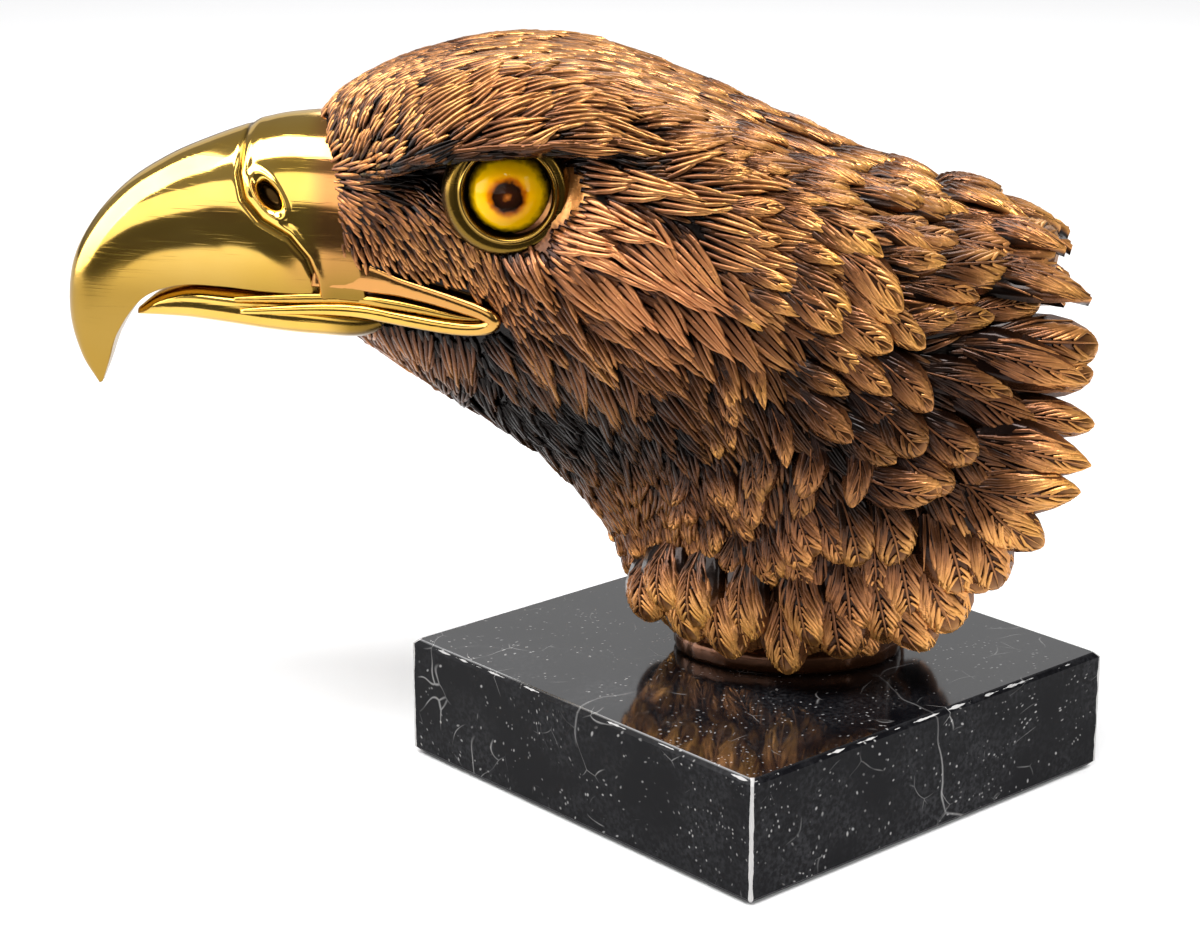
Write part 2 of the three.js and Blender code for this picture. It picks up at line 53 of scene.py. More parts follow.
# Net of the head and neck in millimetres: from throat to crown, seven points at each of seven
# stations from the face to the neck's end. Each is x, half-width, z.
NET = np.array([
    [(-105, 0, 110.5), (-96, 0, 107.5), (-76, 0, 94), (-52, 0, 78), (-36, 0, 60),
     (-30.5, 0, 49), (-25, 0, 42)],
    [(-103.3, 11, 118.8), (-94, 14.5, 115.8), (-74, 18, 110.9), (-42.5, 23.5, 98.8), (-17.3, 27.5, 76),
     (-3.8, 28.5, 57.1), (4.8, 26, 48.5)],
    [(-102.7, 15.5, 128.8), (-93.2, 20, 128.9), (-73.2, 26, 128.4), (-39.9, 35, 121.1), (-5.6, 41.5, 99.3),
     (16.9, 42, 74.1), (30.3, 37, 58.2)],
    [(-103.1, 15.5, 136.6), (-94, 21.5, 140.9), (-73.7, 29.5, 146.5), (-41.7, 37, 140.6), (-2.8, 44, 123.5),
     (31.8, 45, 100.4), (53, 37, 83.8)],
    [(-103.9, 13.5, 145.9), (-95.2, 20, 154.1), (-74.7, 29, 162.7), (-43.8, 34, 161.8), (-7.6, 39, 150.5),
     (32, 41, 133.1), (61, 33, 109.2)],
    [(-105.1, 9, 154.8), (-95.9, 15, 165.8), (-76.5, 22, 175.4), (-46.3, 25, 177.3), (-13.5, 27, 166.1),
     (25, 27, 146.9), (58.9, 24, 127.9)],
    [(-107, 0, 160), (-98, 0, 170), (-80, 0, 177.5), (-50, 0, 179.3), (-18, 0, 171), (18, 0, 152.5),
     (52, 0, 141)],
], float)
STATIONS = NET.shape[1] - 1
RUNGS = NET.shape[0] - 1

# Which way feathers lie at each point of the net: degrees from straight back, upwards positive.
LIE = np.array([
    [0, 0, 0, 0, 0, 0, 0],
    [0, -10, -35, -18, -21, -29, -35],
    [0, -20, -50, -22, -20, -26, -25],
    [0, -30, -60, -10, -11, 5, 16],
    [10, 10, 26, 15, 13, 26, 28],
    [24, 24, 9, 13, 8, 8, 15],
    [0, 0, 0, 0, 0, 0, 0],
], float)

# Places in the side view, in millimetres: x, z
EYE = (-57.3, 149.6)
EYE_DEPTH = 25.0
BROW_LINE = np.array([(-98, 150.0), (-88, 151.5), (-81, 153.6), (-74, 156.2), (-66, 157.8), (-58, 158.3),
                      (-48, 159.8), (-38, 160.2), (-26, 157)], float)
LOWER_LIP_LINE = [(-126, 115.6), (-112, 116.9), (-98, 118.0), (-88, 118.0), (-79, 117.0), (-70, 116.2),
                  (-63, 116.9)]
UPPER_LIP_LINE = [(-60.6, 118.7), (-62, 120.6), (-68, 122.0), (-76, 123.8), (-84, 125.0), (-92, 126.6),
                  (-108, 129.0)]
INNER_LIP_LINE = [(-126, 118.6), (-112, 119.6), (-98, 120.6), (-88, 120.9), (-79, 120.0), (-71, 118.7),
                  (-64, 118.2)]
NOSTRIL = (-114.5, 145.0)
NOSTRIL_HALF_SIZE = (4.7, 2.25)
NOSTRIL_TILT = math.radians(-52)
# Edge of the cere on the upper beak
CERE_EDGE = [(-119.5, 164), (-121.5, 156), (-122.3, 150), (-121, 144), (-117, 139), (-110.5, 135),
             (-106.5, 130), (-104.8, 125), (-104.4, 119)]
# Smooth skin of the face: how far it reaches round the eye, and over and under the lips
LID_REACH = 12.8
CORNER_HEIGHT = 150.3
CORNER_LENGTH = 10
MOUTH_CORNER = -58.6
ABOVE_LIPS = np.array([(-112, 132), (-99.5, 130.6), (-91.4, 127.1), (-81, 126), (-71, 124.5), (-63, 121.5),
                       (-58.6, 119.4)], float)
BELOW_LIPS = np.array([(-112, 112), (-98, 115.6), (-88, 116), (-79, 115.2), (-70, 114.6), (-63, 115.4),
                       (-58.6, 119)], float)

# Beak in the side view: culmen point, tomial point, half-width and forward bow at each station
CULMEN = [(-97, 163), (-112, 161.7), (-121, 159.3), (-131, 155.8), (-141, 151.4), (-151, 145),
          (-159.5, 136), (-165, 125.5), (-166.4, 113), (-164.2, 102.5), (-160.2, 95)]
TOMIUM = [(-92, 120.6), (-101, 120.6), (-106, 120.7), (-116, 121), (-127, 121.9), (-137, 121.9),
          (-145, 119.4), (-150, 115), (-154.8, 107.5), (-157.3, 100.5), (-159.2, 95.6)]
BEAK_HALF_WIDTH = [19, 15.7, 14.9, 13.5, 12.1, 10.6, 9, 7.4, 5.3, 3.2, 1.1]
BEAK_BOW = [0, 4, 9, 7.5, 5, 3, 1.5, 0.5, 0, 0, 0]
# Where each section is widest, as a share of the way up from the tomial edge
WIDEST = 0.36
# Sides of the beak where the upper lip lies on it: x, half-width
BEAK_SIDE = np.array([(-116, 12.3), (-107, 13.9), (-101, 15.6), (-92, 17.7)])
# Lower beak: x, top z, bottom z, half-width
MANDIBLE = [(-149.5, 114.2, 112.6, 2.2), (-144, 118.4, 112.6, 5.2), (-136, 120.9, 112.3, 7.6),
            (-126, 120.9, 111.2, 9.4), (-116, 120.4, 110, 11), (-106, 120.2, 109.3, 12.6),
            (-94, 120, 109.5, 15)]
# Its rear end, inside the head
MANDIBLE_END = (-84, 118.5, 113.0, 12.0)
JAW_STEPS = 72
# The lips: half-widths along the roll from the lower beak round the corner, in lip radii
LIP_WIDTHS = [0.3, 0.5, 0.7, 0.8, 0.8, 0.8, 0.75, 0.75, 0.8, 0.9, 0.95, 1.1, 1.6, 2.3]
ROLL_STEPS = 90
ROLL_SIDES = 20

# How deep the skin lies under the tops of its strands, in millimetres
STRAND_DEPTH = 0.9

# How far the carving stands out of the net or is sunk in it, in millimetres
BROW_SHELF = 5.6
BROW_ROLL = 2.0
BROW_HOLLOW = 3.6
ORBIT_HOLLOW = 3.4
LORE_HOLLOW = 5.2
CHEEK_SWELL = 1.2

# The cast skin runs from one station to the other, and its end swells by this many millimetres.
FACE_STATION = -0.2
END_STATION = 5.76
END_SWELL = 9.0
END_STEPS = 14

# Foot: radius as a share of its half-size, and z in millimetres, and then x of its middle
FOOT = np.array([(0.0, 30.05), (1.05, 30.05), (1.07, 31.0), (1.075, 33.5), (1.05, 34.8), (1.0, 35.3),
                 (0.985, 37), (0.99, 45), (1.0, 62), (0.9, 66), (0.0, 67)])
FOOT_MIDDLE = 8
FOOT_STEPS = 96


# Curves and surfaces

def catmull(p0, p1, p2, p3, t):
    """Catmull-Rom cubic between p1 and p2 at t."""
    return 0.5 * (2 * p1 + (p2 - p0) * t + (2 * p0 - 5 * p1 + 4 * p2 - p3) * t ** 2
                  + (3 * p1 - p0 - 3 * p2 + p3) * t ** 3)


def along(points, u):
    """Catmull-Rom curve through points at fractional indices u, straight on past its ends."""
    p = np.asarray(points, float)
    p = np.concatenate([2 * p[:1] - p[1:2], p, 2 * p[-1:] - p[-2:-1]])
    u = np.asarray(u, float)
    i = np.clip(np.floor(u).astype(int), 0, len(p) - 4)
    t = u - i
    if p.ndim == 2:
        t = t[..., None]
    return catmull(p[i], p[i + 1], p[i + 2], p[i + 3], t)


def smoothstep(low, high, x):
    """0 below low, 1 above high, with a smooth cubic between them."""
    t = np.clip((x - low) / (high - low), 0, 1)
    return t * t * (3 - 2 * t)


def spot(x, z, middle, size):
    """1 at a place of the side view, falling off all round as a bell of that half-length and height."""
    return np.exp(-((x - middle[0]) / size[0]) ** 2 - ((z - middle[1]) / size[1]) ** 2)


def unit(vectors):
    """Vectors of any table, brought to length 1."""
    return vectors / np.maximum(np.linalg.norm(vectors, axis=-1, keepdims=True), 1e-9)


def spaced(t, values):
    """A list of values spread evenly from the first to the last t, read off at each t."""
    return np.interp(t, np.linspace(t[0], t[-1], len(values)), values)


def with_ends(values):
    """A table with its first and last row once more, for the closing points of a tube."""
    return np.concatenate([values[:1], values, values[-1:]])


def capped(rings):
    """Rings closed at both ends by a point in the middle of the end ring."""
    first, last = (np.broadcast_to(end.mean(axis=(0, 1)), end.shape) for end in (rings[:1], rings[-1:]))
    return np.concatenate([first, rings, last])


def in_mm(length):
    """A length of the settings in millimetres, to the nearest thousandth."""
    return round(length / MM, 3)


def net_table(grid, s, rung, odd):
    """Values of a net on the product of stations s and rungs 0 to 6: Catmull-Rom both ways, mirrored
    over throat and crown, with a change of sign there for the odd last axis given by `odd`. Past the
    first and last station it runs straight on."""
    sign = np.array(odd, float)
    g = np.concatenate([grid[1:2] * sign, grid, grid[-2:-1] * sign])
    j = np.minimum(np.floor(rung).astype(int), RUNGS - 1)
    t = (rung - j)[:, None, None]
    rows = catmull(g[j], g[j + 1], g[j + 2], g[j + 3], t)
    columns = np.moveaxis(rows, 1, 0)
    flat = columns.reshape(len(columns), -1)
    shape = (len(s), len(rung), grid.shape[-1])
    inside = np.clip(s, 0, STATIONS)
    at = along(flat, inside).reshape(shape)
    step = 0.01
    near = along(flat, np.where(s > STATIONS, STATIONS - step, step)).reshape(shape)
    end = along(flat, np.where(s > STATIONS, STATIONS, 0.0)).reshape(shape)
    slope = (end - near) / step
    over = np.abs(s - inside)[:, None, None]
    return at + slope * over


def brow_height(x):
    """Height of the brow's lower edge at x."""
    return np.interp(x, BROW_LINE[:, 0], BROW_LINE[:, 1])


def eye_distance(x, z):
    """Distance from the eye's middle in the side view."""
    return np.hypot(x - EYE[0], z - EYE[1])


def relief(x, z):
    """How far the carving stands out of the net at x, z of the side view: the brow's shelf and the roll
    at its front, the hollow under it, the orbit round the eye, the lore and the fuller cheek. Each is
    a bell or a smooth step over the distance from its place."""
    above = z - brow_height(x)
    reach = smoothstep(-94, -79, x) * (1 - smoothstep(-46, -26, x))
    up = smoothstep(-0.7, 0.9, above)
    shelf = up * np.exp(-((above - 2) ** 2) / 70)
    hollow = (1 - up) * np.exp(-((above + 2) ** 2) / 70)
    lore = np.exp(-((x + 76) ** 2) / 60 - (z - 152) ** 2 / 30)
    cheek = np.exp(-((x + 38) ** 2) / 500 - (z - 132) ** 2 / 220)
    orbit = (1 - smoothstep(11, 19, eye_distance(x, z))) * (1 - up)
    roll = spot(x, z, (-84, 162), (8, 6))
    brow = reach * (BROW_SHELF * shelf - BROW_HOLLOW * hollow)
    face = brow - ORBIT_HOLLOW * orbit - LORE_HOLLOW * lore * (1 - up)
    return face + CHEEK_SWELL * cheek + BROW_ROLL * roll


class Surface:
    """A closed tube of skin as a table of points over stations u and rungs v, with normals and tangents.
    A lay of local x, y, height is carried onto it through the tangents at each root."""

    def __init__(self, u, v, points):
        self.u, self.v = u, v
        self.points = points
        self.du = np.gradient(points, u, axis=0)
        ring = np.concatenate([points[:, -2:-1], points, points[:, 1:2]], axis=1)
        self.dv = (ring[:, 2:] - ring[:, :-2]) / (2 * (v[1] - v[0]))
        self.normals = unit(np.cross(self.du, self.dv))

    def cell(self, u, v):
        """Cell and fractions of u, v in the table."""
        v = np.mod(v, self.v[-1])
        i = np.clip((u - self.u[0]) / (self.u[1] - self.u[0]), 0, len(self.u) - 1.001)
        j = np.clip((v - self.v[0]) / (self.v[1] - self.v[0]), 0, len(self.v) - 1.001)
        ii, jj = i.astype(int), j.astype(int)
        return ii, jj, (i - ii)[..., None], (j - jj)[..., None]

    def sample(self, table, u, v):
        """A table at u, v, linear between its points."""
        i, j, f, g = self.cell(u, v)
        return ((table[i, j] * (1 - g) + table[i, j + 1] * g) * (1 - f)
                + (table[i + 1, j] * (1 - g) + table[i + 1, j + 1] * g) * f)

    def at(self, u, v, height=0.0):
        """Points at u, v, lifted along the normal."""
        outwards = self.sample(self.normals, u, v) * np.asarray(height)[..., None]
        return self.sample(self.points, u, v) + outwards

    def lay(self, u, v, turn, x, y, height):
        """Points laid from roots u, v: x back along the lie, y across it and height off the skin."""
        root = (slice(None),) + (None,) * (np.ndim(x) - 1)
        du = self.sample(self.du, u, v)
        dv = self.sample(self.dv, u, v)
        back = unit(du)
        up = unit(np.cross(self.sample(self.normals, u, v), back))
        c, s = np.cos(turn)[root], np.sin(turn)[root]
        ahead = x * c - y * s
        aside = x * s + y * c
        uu = (du * du).sum(1)
        vv = (dv * dv).sum(1)
        uv = (du * dv).sum(1)
        det = uu * vv - uv * uv
        bu, bv = (back * du).sum(1), (back * dv).sum(1)
        cu, cv = (up * du).sum(1), (up * dv).sum(1)
        step_u = ahead * ((bu * vv - bv * uv) / det)[root] + aside * ((cu * vv - cv * uv) / det)[root]
        step_v = ahead * ((bv * uu - bu * uv) / det)[root] + aside * ((cv * uu - cu * uv) / det)[root]
        return self.at(u[root] + step_u, v[root] + step_v, height)


@functools.lru_cache(maxsize=None)
def head_surface():
    """The head and neck: the net, carved by relief along its normals, on a fine table, with the lie of
    its feathers. It is made once."""
    s = np.linspace(-0.5, 7.6, 406)
    rung = np.linspace(0, RUNGS, 241)
    near = net_table(NET, s, rung, (1, -1, 1)) * (1, -1, 1)
    far = near[:, -2::-1] * (1, -1, 1)
    points = np.concatenate([near, far], axis=1)
    v = np.linspace(0, 2 * RUNGS, points.shape[1])
    bare = Surface(s, v, points)
    crown = smoothstep(0.3, 0.9, bare.normals[..., 2]) * smoothstep(140, 160, points[..., 2])
    height = relief(points[..., 0], points[..., 2]) - STRAND_DEPTH * (1 + crown)
    skin = Surface(s, v, points + bare.normals * height[..., None])
    half = net_table(LIE[..., None], s, rung, (-1,))[..., 0]
    skin.lie = np.radians(np.concatenate([half, -half[:, -2::-1]], axis=1))[..., None]
    return skin


def place_of(skin, x, z):
    """Station and rung where the near side shows at x, z: the nearest table point, then Newton steps."""
    near = skin.points[:, :len(skin.v) // 2]
    miss = (near[..., 0][..., None] - x) ** 2 + (near[..., 2][..., None] - z) ** 2
    best = miss.reshape(-1, len(x)).argmin(0)
    u = skin.u[best // near.shape[1]]
    v = skin.v[best % near.shape[1]]
    for _ in range(6):
        p = skin.at(u, v)
        du, dv = skin.sample(skin.du, u, v), skin.sample(skin.dv, u, v)
        det = du[:, 0] * dv[:, 2] - du[:, 2] * dv[:, 0]
        mx, mz = x - p[:, 0], z - p[:, 2]
        u = u + np.clip(0.7 * (mx * dv[:, 2] - mz * dv[:, 0]) / det, -0.1, 0.1)
        v = v + np.clip(0.7 * (du[:, 0] * mz - du[:, 2] * mx) / det, -0.1, 0.1)
    return u, v


# Meshes

def grid_faces(rows, columns, wrap=False):
    """Quads of a grid of points, row by row."""
    i = np.arange(rows - 1)[:, None] * columns
    j = np.arange(columns if wrap else columns - 1)[None]
    k = (j + 1) % columns
    return np.stack([i + j, i + k, i + columns + k, i + columns + j], -1).reshape(-1, 4)


def repeated_faces(faces, count, size):
    """The same faces for count shapes of size points each."""
    return (faces[None] + (np.arange(count) * size)[:, None, None]).reshape(-1, faces.shape[1])


class Soup:
    """Points, quads and named values gathered from several shapes into one mesh."""

    def __init__(self):
        self.points, self.faces, self.values, self.count = [], [], {}, 0

    def add(self, points, faces, **values):
        """Takes in one shape. A value is one number, or one for each of its points, and 0 if not given."""
        points = points.reshape(-1, 3)
        self.points.append(points)
        self.faces.append(faces + self.count)
        for name in sorted(set(self.values) | set(values)):
            value = np.ravel(values.get(name, 0.0)) + np.zeros(len(points))
            self.values.setdefault(name, [np.zeros(self.count)]).append(value)
        self.count += len(points)


def make_piece(name, soup, material, mirror=False, node="bronze_eagle_head"):
    """A smooth mesh object from gathered points in millimetres, mirrored to the far side if asked."""
    points = np.concatenate(soup.points)
    faces = np.concatenate(soup.faces)
    values = {key: np.concatenate(parts) for key, parts in soup.values.items()}
    if mirror:
        faces = np.concatenate([faces, faces[:, ::-1] + len(points)])
        points = np.concatenate([points, points * (1, -1, 1)])
        values = {key: np.concatenate([value, value]) for key, value in values.items()}
    mesh = bpy.data.meshes.new(name)
    mesh.vertices.add(len(points))
    mesh.vertices.foreach_set("co", (points * MM).astype(np.float32).ravel())
    mesh.loops.add(faces.size)
    mesh.loops.foreach_set("vertex_index", faces.astype(np.int32).ravel())
    mesh.polygons.add(len(faces))
    mesh.polygons.foreach_set("loop_start", np.arange(0, faces.size, faces.shape[1], dtype=np.int32))
    mesh.polygons.foreach_set("use_smooth", np.full(len(faces), True))
    mesh.update(calc_edges=True)
    for key, value in values.items():
        layer = mesh.attributes.new(key, "FLOAT", "POINT")
        layer.data.foreach_set("value", value.astype(np.float32))
    mesh.materials.append(material)
    piece = bpy.data.objects.new(name, mesh)
    bpy.context.scene.collection.objects.link(piece)
    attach(piece, "root")
    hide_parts(node)


# Feathers and strands

STRAND_STEPS = np.array([0.0, 0.3, 0.6, 0.85, 1.0])
STRAND_WIDTH = np.array([0.6, 1.0, 1.0, 0.75, 0.05])
STRAND_HEIGHT = np.array([-0.2, 0.8, 1.0, 0.9, 0.1])

# Section of a strand or barb: places across it as shares of its half-width, and heights
ACROSS = np.array([-1.0, -0.5, 0.5, 1.0])
RISE = np.array([0.0, 1.0, 1.0, 0.0])


def add_strands(soup, surface, u, v, turn, length, width, height, bend, lift, start=0.0, shift=0.0,
                tone=0.0, worn_and_lit=1.0, gilt=0.35):
    """Tapered ridges laid on a surface: x runs back along the lie, y bends as the square of x, and each
    section is a rounded ridge whose foot is sunk in the skin. Gilding grows towards the tip, and so does
    the brightness, which is a painted shade at the root where the strands before lie over it."""

    def each(value):
        """A value of each strand, shaped to go with the table of steps and points across."""
        return (np.zeros(len(u)) + value)[:, None, None]

    t = STRAND_STEPS[None, :, None]
    x = each(start) + each(length) * t + 0 * ACROSS
    y = each(shift) + each(bend) * t ** 2 + 0.5 * each(width) * STRAND_WIDTH[None, :, None] * ACROSS
    ridge = each(height) * STRAND_HEIGHT[None, :, None]
    h = each(lift) * t ** 1.3 + ridge * (1.7 * RISE - 0.7)
    points = surface.lay(u, v, turn, x, y, h)
    # Brighter on the crest, and darker towards the root: painted shade under the strands before it
    wear = each(worn_and_lit) * RISE * (0.32 + 0.60 * smoothstep(0.0, 0.9, t)) + 0 * x
    tip = each(gilt) * (0.2 + 0.8 * RISE) * smoothstep(0.55, 1.0, t) + 0 * x
    steps, ring = len(STRAND_STEPS), len(ACROSS)
    faces = repeated_faces(grid_faces(steps, ring, wrap=True)[:, ::-1], len(u), steps * ring)
    soup.add(points, faces, wear=wear, tip=tip, tone=each(tone) + 0 * x)


def add_tufts(soup, surface, u, v, turn, length, pitch, count, lift, height, gather, tone, worn_and_lit, rng):
    """Small feathers, each of count strands side by side. gather is the share of their width that they
    lose towards the tip: 0 keeps them parallel and 1 runs them into one point."""
    bend = rng.uniform(-0.13, 0.13, len(u)) * length
    for k in range(count):
        off = 2 * k / (count - 1) - 1 if count > 1 else 0.0
        aside = off * 0.5 * (count - 1) * pitch
        loose = rng.uniform(0.85, 1.1, len(u))
        inward = aside * gather * rng.uniform(0.8, 1.2, len(u))
        start = 0.06 * length * off * off + rng.uniform(-0.10, 0.10, len(u)) * length
        add_strands(soup, surface, u, v, turn, length * (1 - 0.30 * abs(off)) * loose, pitch * 1.02,
                    height * loose, bend - inward, lift * (1 - 0.4 * off * off), start=start, shift=aside,
                    tone=tone, worn_and_lit=worn_and_lit * rng.uniform(0.7, 1.1, len(u)))


# A feather: steps along it, places across it as shares of its half-width, and shares of its width for
# its camber, its shaft and the waves of its barbs
LEAF_STEPS = np.array([0.0, 0.28, 0.52, 0.7, 0.84, 0.94, 0.985, 1.0])
LEAF_ACROSS = np.array([-1.0, -0.65, 0.0, 0.65, 1.0])
LEAF_CAMBER = 0.19
SHAFT_WIDTH = 0.03
SHAFT_HEIGHT = 0.035
BARB_WAVE = 0.10


def leaf_half_width(t, sharp):
    """Half-width of a feather along its length, as a share: narrow at the root, full to the middle and
    drawn in to its end, which is round for a sharpness of 0 and long and pointed for 1."""
    full_to = 0.52 - 0.27 * sharp
    end = np.clip((t - full_to) / (1 - full_to), 0, 1)
    drawn_in = np.clip(1 - end ** (2.3 - 0.8 * sharp), 0, 1) ** (0.6 + 0.3 * sharp)
    return (0.6 + 0.4 * smoothstep(0, 0.42, t)) * drawn_in


# A barb: steps from the shaft to the edge, and its breadth there
BARB_STEPS = np.array([0.0, 0.33, 0.68, 1.0])
BARB_WIDTH = np.array([0.6, 1.0, 0.9, 0.2])


def add_feathers(soup, surface, u, v, turn, length, width, lift, barbs, rng, bend=0.0, tone=0.0, sharp=0.0,
                 worn_and_lit=1.0):
    """Feathers laid on a surface. Each is a closed leaf, cambered across and lifted towards its tip, with a
    raised shaft and barbs that leave the shaft and curve out to the edge. The heights are lift t^1.3 +
    camber (1 - off^2), for t along and off across the leaf. Leaf, barbs and shaft grow brighter from root
    to tip, a painted shade of the overlap of the feathers before them."""
    count = len(u)
    length, width, lift, bend, tone, sharp, worn_and_lit = (np.zeros(count) + value for value in
                                                    (length, width, lift, bend, tone, sharp, worn_and_lit))

    def per(value, like):
        """A value of each feather, shaped to go with a table of that many axes."""
        return value[(slice(None),) + (None,) * (like.ndim - 1)]

    def height_at(x, y):
        """Height of the vane's top at x, y of each feather."""
        t = np.clip(x / per(length, x), 0, 1)
        full = leaf_half_width(t, per(sharp, x))
        off = np.clip((y - per(bend, x) * t ** 2) / np.maximum(0.5 * per(width, x) * full, 0.05), -1, 1)
        camber = LEAF_CAMBER * per(width, x) * full * smoothstep(0, 0.35, t) * (1 - off ** 2)
        return per(lift, x) * t ** 1.3 + camber - 0.6 * (1 - t) ** 2

    t = LEAF_STEPS[None, :, None]
    across = np.concatenate([LEAF_ACROSS, [0.55, -0.55]])
    half = 0.5 * width[:, None, None] * np.maximum(leaf_half_width(t, sharp[:, None, None]), 0.03)
    x = length[:, None, None] * t + 0 * across
    y = bend[:, None, None] * t ** 2 + half * across
    under = np.concatenate([np.zeros(len(LEAF_ACROSS)), [1.0, 1.0]])
    h = height_at(x, y) - under * (0.4 + 0.13 * width[:, None, None])
    leaf = surface.lay(u, v, turn, x, y, h)
    edge = np.abs(across) ** 3 * (1 - under)
    # Darker towards the root: painted shade where the feathers before lie over it
    wear = 0.06 + 0.36 * t ** 2 + 0.35 * edge * smoothstep(0.4, 0.9, t) + 0.25 * smoothstep(0.93, 1.0, t)
    tip = smoothstep(0.8, 1.0, t) * 0.8
    steps, ring = len(LEAF_STEPS), len(across)
    faces = repeated_faces(grid_faces(steps, ring, wrap=True)[:, ::-1], count, steps * ring)
    soup.add(leaf, faces, wear=wear * (1 - under) + 0 * x, tip=tip * (1 - under) + 0 * x,
             tone=per(tone, x) + 0 * x)

    q = BARB_STEPS[:, None]
    side = np.array([-1.0, 1.0])[None, None, :, None, None]
    start = np.linspace(-0.25, 0.76, barbs)[None, :, None, None, None]
    start = start + rng.uniform(-0.3, 0.3, (count, barbs, 2, 1, 1)) / barbs
    reach = np.minimum(1.0 - 0.30 * start, 0.99 - start) * rng.uniform(0.80, 1.1, start.shape)
    at = np.clip(start + reach * q, 0.02, 0.99)
    out = 0.07 + 0.86 * q ** rng.uniform(0.9, 1.4, start.shape)
    full = 0.5 * per(width, at) * leaf_half_width(at, per(sharp, at))
    breadth = np.minimum(0.38 * per(width, at) / barbs + 0.22, 0.32 * full + 0.12) * BARB_WIDTH[:, None]
    phase = 6.3 * rng.random((count, 1, 1, 1, 1))
    wave = BARB_WAVE * per(width, at) * np.sin(9 * at + phase) * q * (1 - q)
    bx = at * per(length, at) - side * 0.2 * breadth * ACROSS
    by = per(bend, at) * at ** 2 + side * out * full + wave + breadth * ACROSS
    barb = surface.lay(u, v, turn, bx, by, height_at(bx, by) + breadth * (1.3 * RISE - 0.4))
    crest = RISE + 0 * bx
    steps, ring = len(BARB_STEPS), len(ACROSS)
    faces = repeated_faces(grid_faces(steps, ring)[:, ::-1], count * barbs * 2, steps * ring)
    # Brightness with the painted shade of the head's hollows and throat, varied at random, and darker
    # towards the barb's root: painted shade of the overlap
    polish_and_light = per(worn_and_lit, at) * rng.uniform(0.7, 1.1, start.shape)
    soup.add(barb, faces, wear=crest * polish_and_light * (0.25 + 0.75 * smoothstep(0.25, 0.85, at)),
             tip=crest * smoothstep(0.55, 0.95, at), tone=per(tone, bx) + 0 * bx)

    t = 0.05 + 0.93 * STRAND_STEPS[None, :, None]
    sx = length[:, None, None] * t + 0 * ACROSS
    thick = (SHAFT_WIDTH * width)[:, None, None] * STRAND_WIDTH[None, :, None]
    sy = bend[:, None, None] * t ** 2 + thick * ACROSS
    sh = height_at(sx, sy) + (SHAFT_HEIGHT * width)[:, None, None] * (1.6 * RISE - 0.6)
    shaft = surface.lay(u, v, turn, sx, sy, sh)
    crest = RISE + 0 * sx
    steps = len(STRAND_STEPS)
    faces = repeated_faces(grid_faces(steps, ring)[:, ::-1], count, steps * ring)
    # The shaft is darker towards the root too: painted shade
    soup.add(shaft, faces, wear=crest * (0.2 + 0.5 * t), tip=smoothstep(0.8, 1, t) * crest,
             tone=per(tone, sx) + 0 * sx)


def rows_of_places(surface, stations, gap, rng, jitter):
    """Roots in staggered rows: at each station of a list all round, evenly spaced by length with gap
    millimetres between neighbours."""
    us, vs = [], []
    v = np.linspace(0, 2 * RUNGS, 200)
    for row, s in enumerate(stations):
        line = surface.at(np.full(200, s), v)
        length = np.concatenate([[0], np.cumsum(np.linalg.norm(np.diff(line, axis=0), axis=1))])
        count = max(2, int(round(length[-1] / gap)))
        stagger = 0.25 if row % 2 else 0.75
        goal = (np.arange(count) + stagger + rng.uniform(-jitter, jitter, count) * 0.5) * length[-1] / count
        vs.append(np.interp(goal, length, v))
        us.append(np.full(count, s) + rng.uniform(-jitter, jitter, count) * 0.12)
    return np.concatenate(us), np.concatenate(vs)


# How strands and feathers lie in the side view: x, z in millimetres, and degrees from straight back
COMBED = np.array([
    (-97, 165, 75), (-90, 172, 50), (-80, 176, 25), (-65, 177, 10), (-45, 176, 2), (-20, 170, -10),
    (5, 160, -16), (-92, 161, 75), (-80, 164, 45), (-72, 163, 36), (-60, 163, 18), (-50, 165, 14),
    (-40, 168, 5), (-30, 158, 0), (-15, 158, -5), (-100, 155, 82), (-94, 154, 78), (-101, 149, 10),
    (-93, 149, -12), (-85, 147, -10), (-99, 144, -62), (-94, 144, -45), (-99, 137, -84), (-92, 137, -76),
    (-85, 141, -45), (-80, 138, -66), (-70, 134, -76), (-62, 131, -64), (-55, 129, -48), (-40, 145, -22),
    (-30, 142, -28), (-45, 128, -34), (-35, 120, -48), (-95, 112, -70), (-80, 108, -75), (-70, 110, -78),
    (-62, 112, -60), (-55, 95, -38), (-40, 85, -52), (-25, 70, -70), (-16, 55, -84), (40, 132, -6),
    (30, 120, 2), (52, 110, 6), (45, 92, -34), (20, 96, -58), (10, 90, -65), (30, 78, -72),
    (-8, 93, -64), (20, 112, -46), (-3, 135, -38), (0, 150, -6), (10, 60, -84), (30, 58, -76),
    (50, 70, -62), (60, 90, -18), (62, 120, -14), (60, 140, -10), (-20, 118, -46), (-20, 100, -55),
], float)


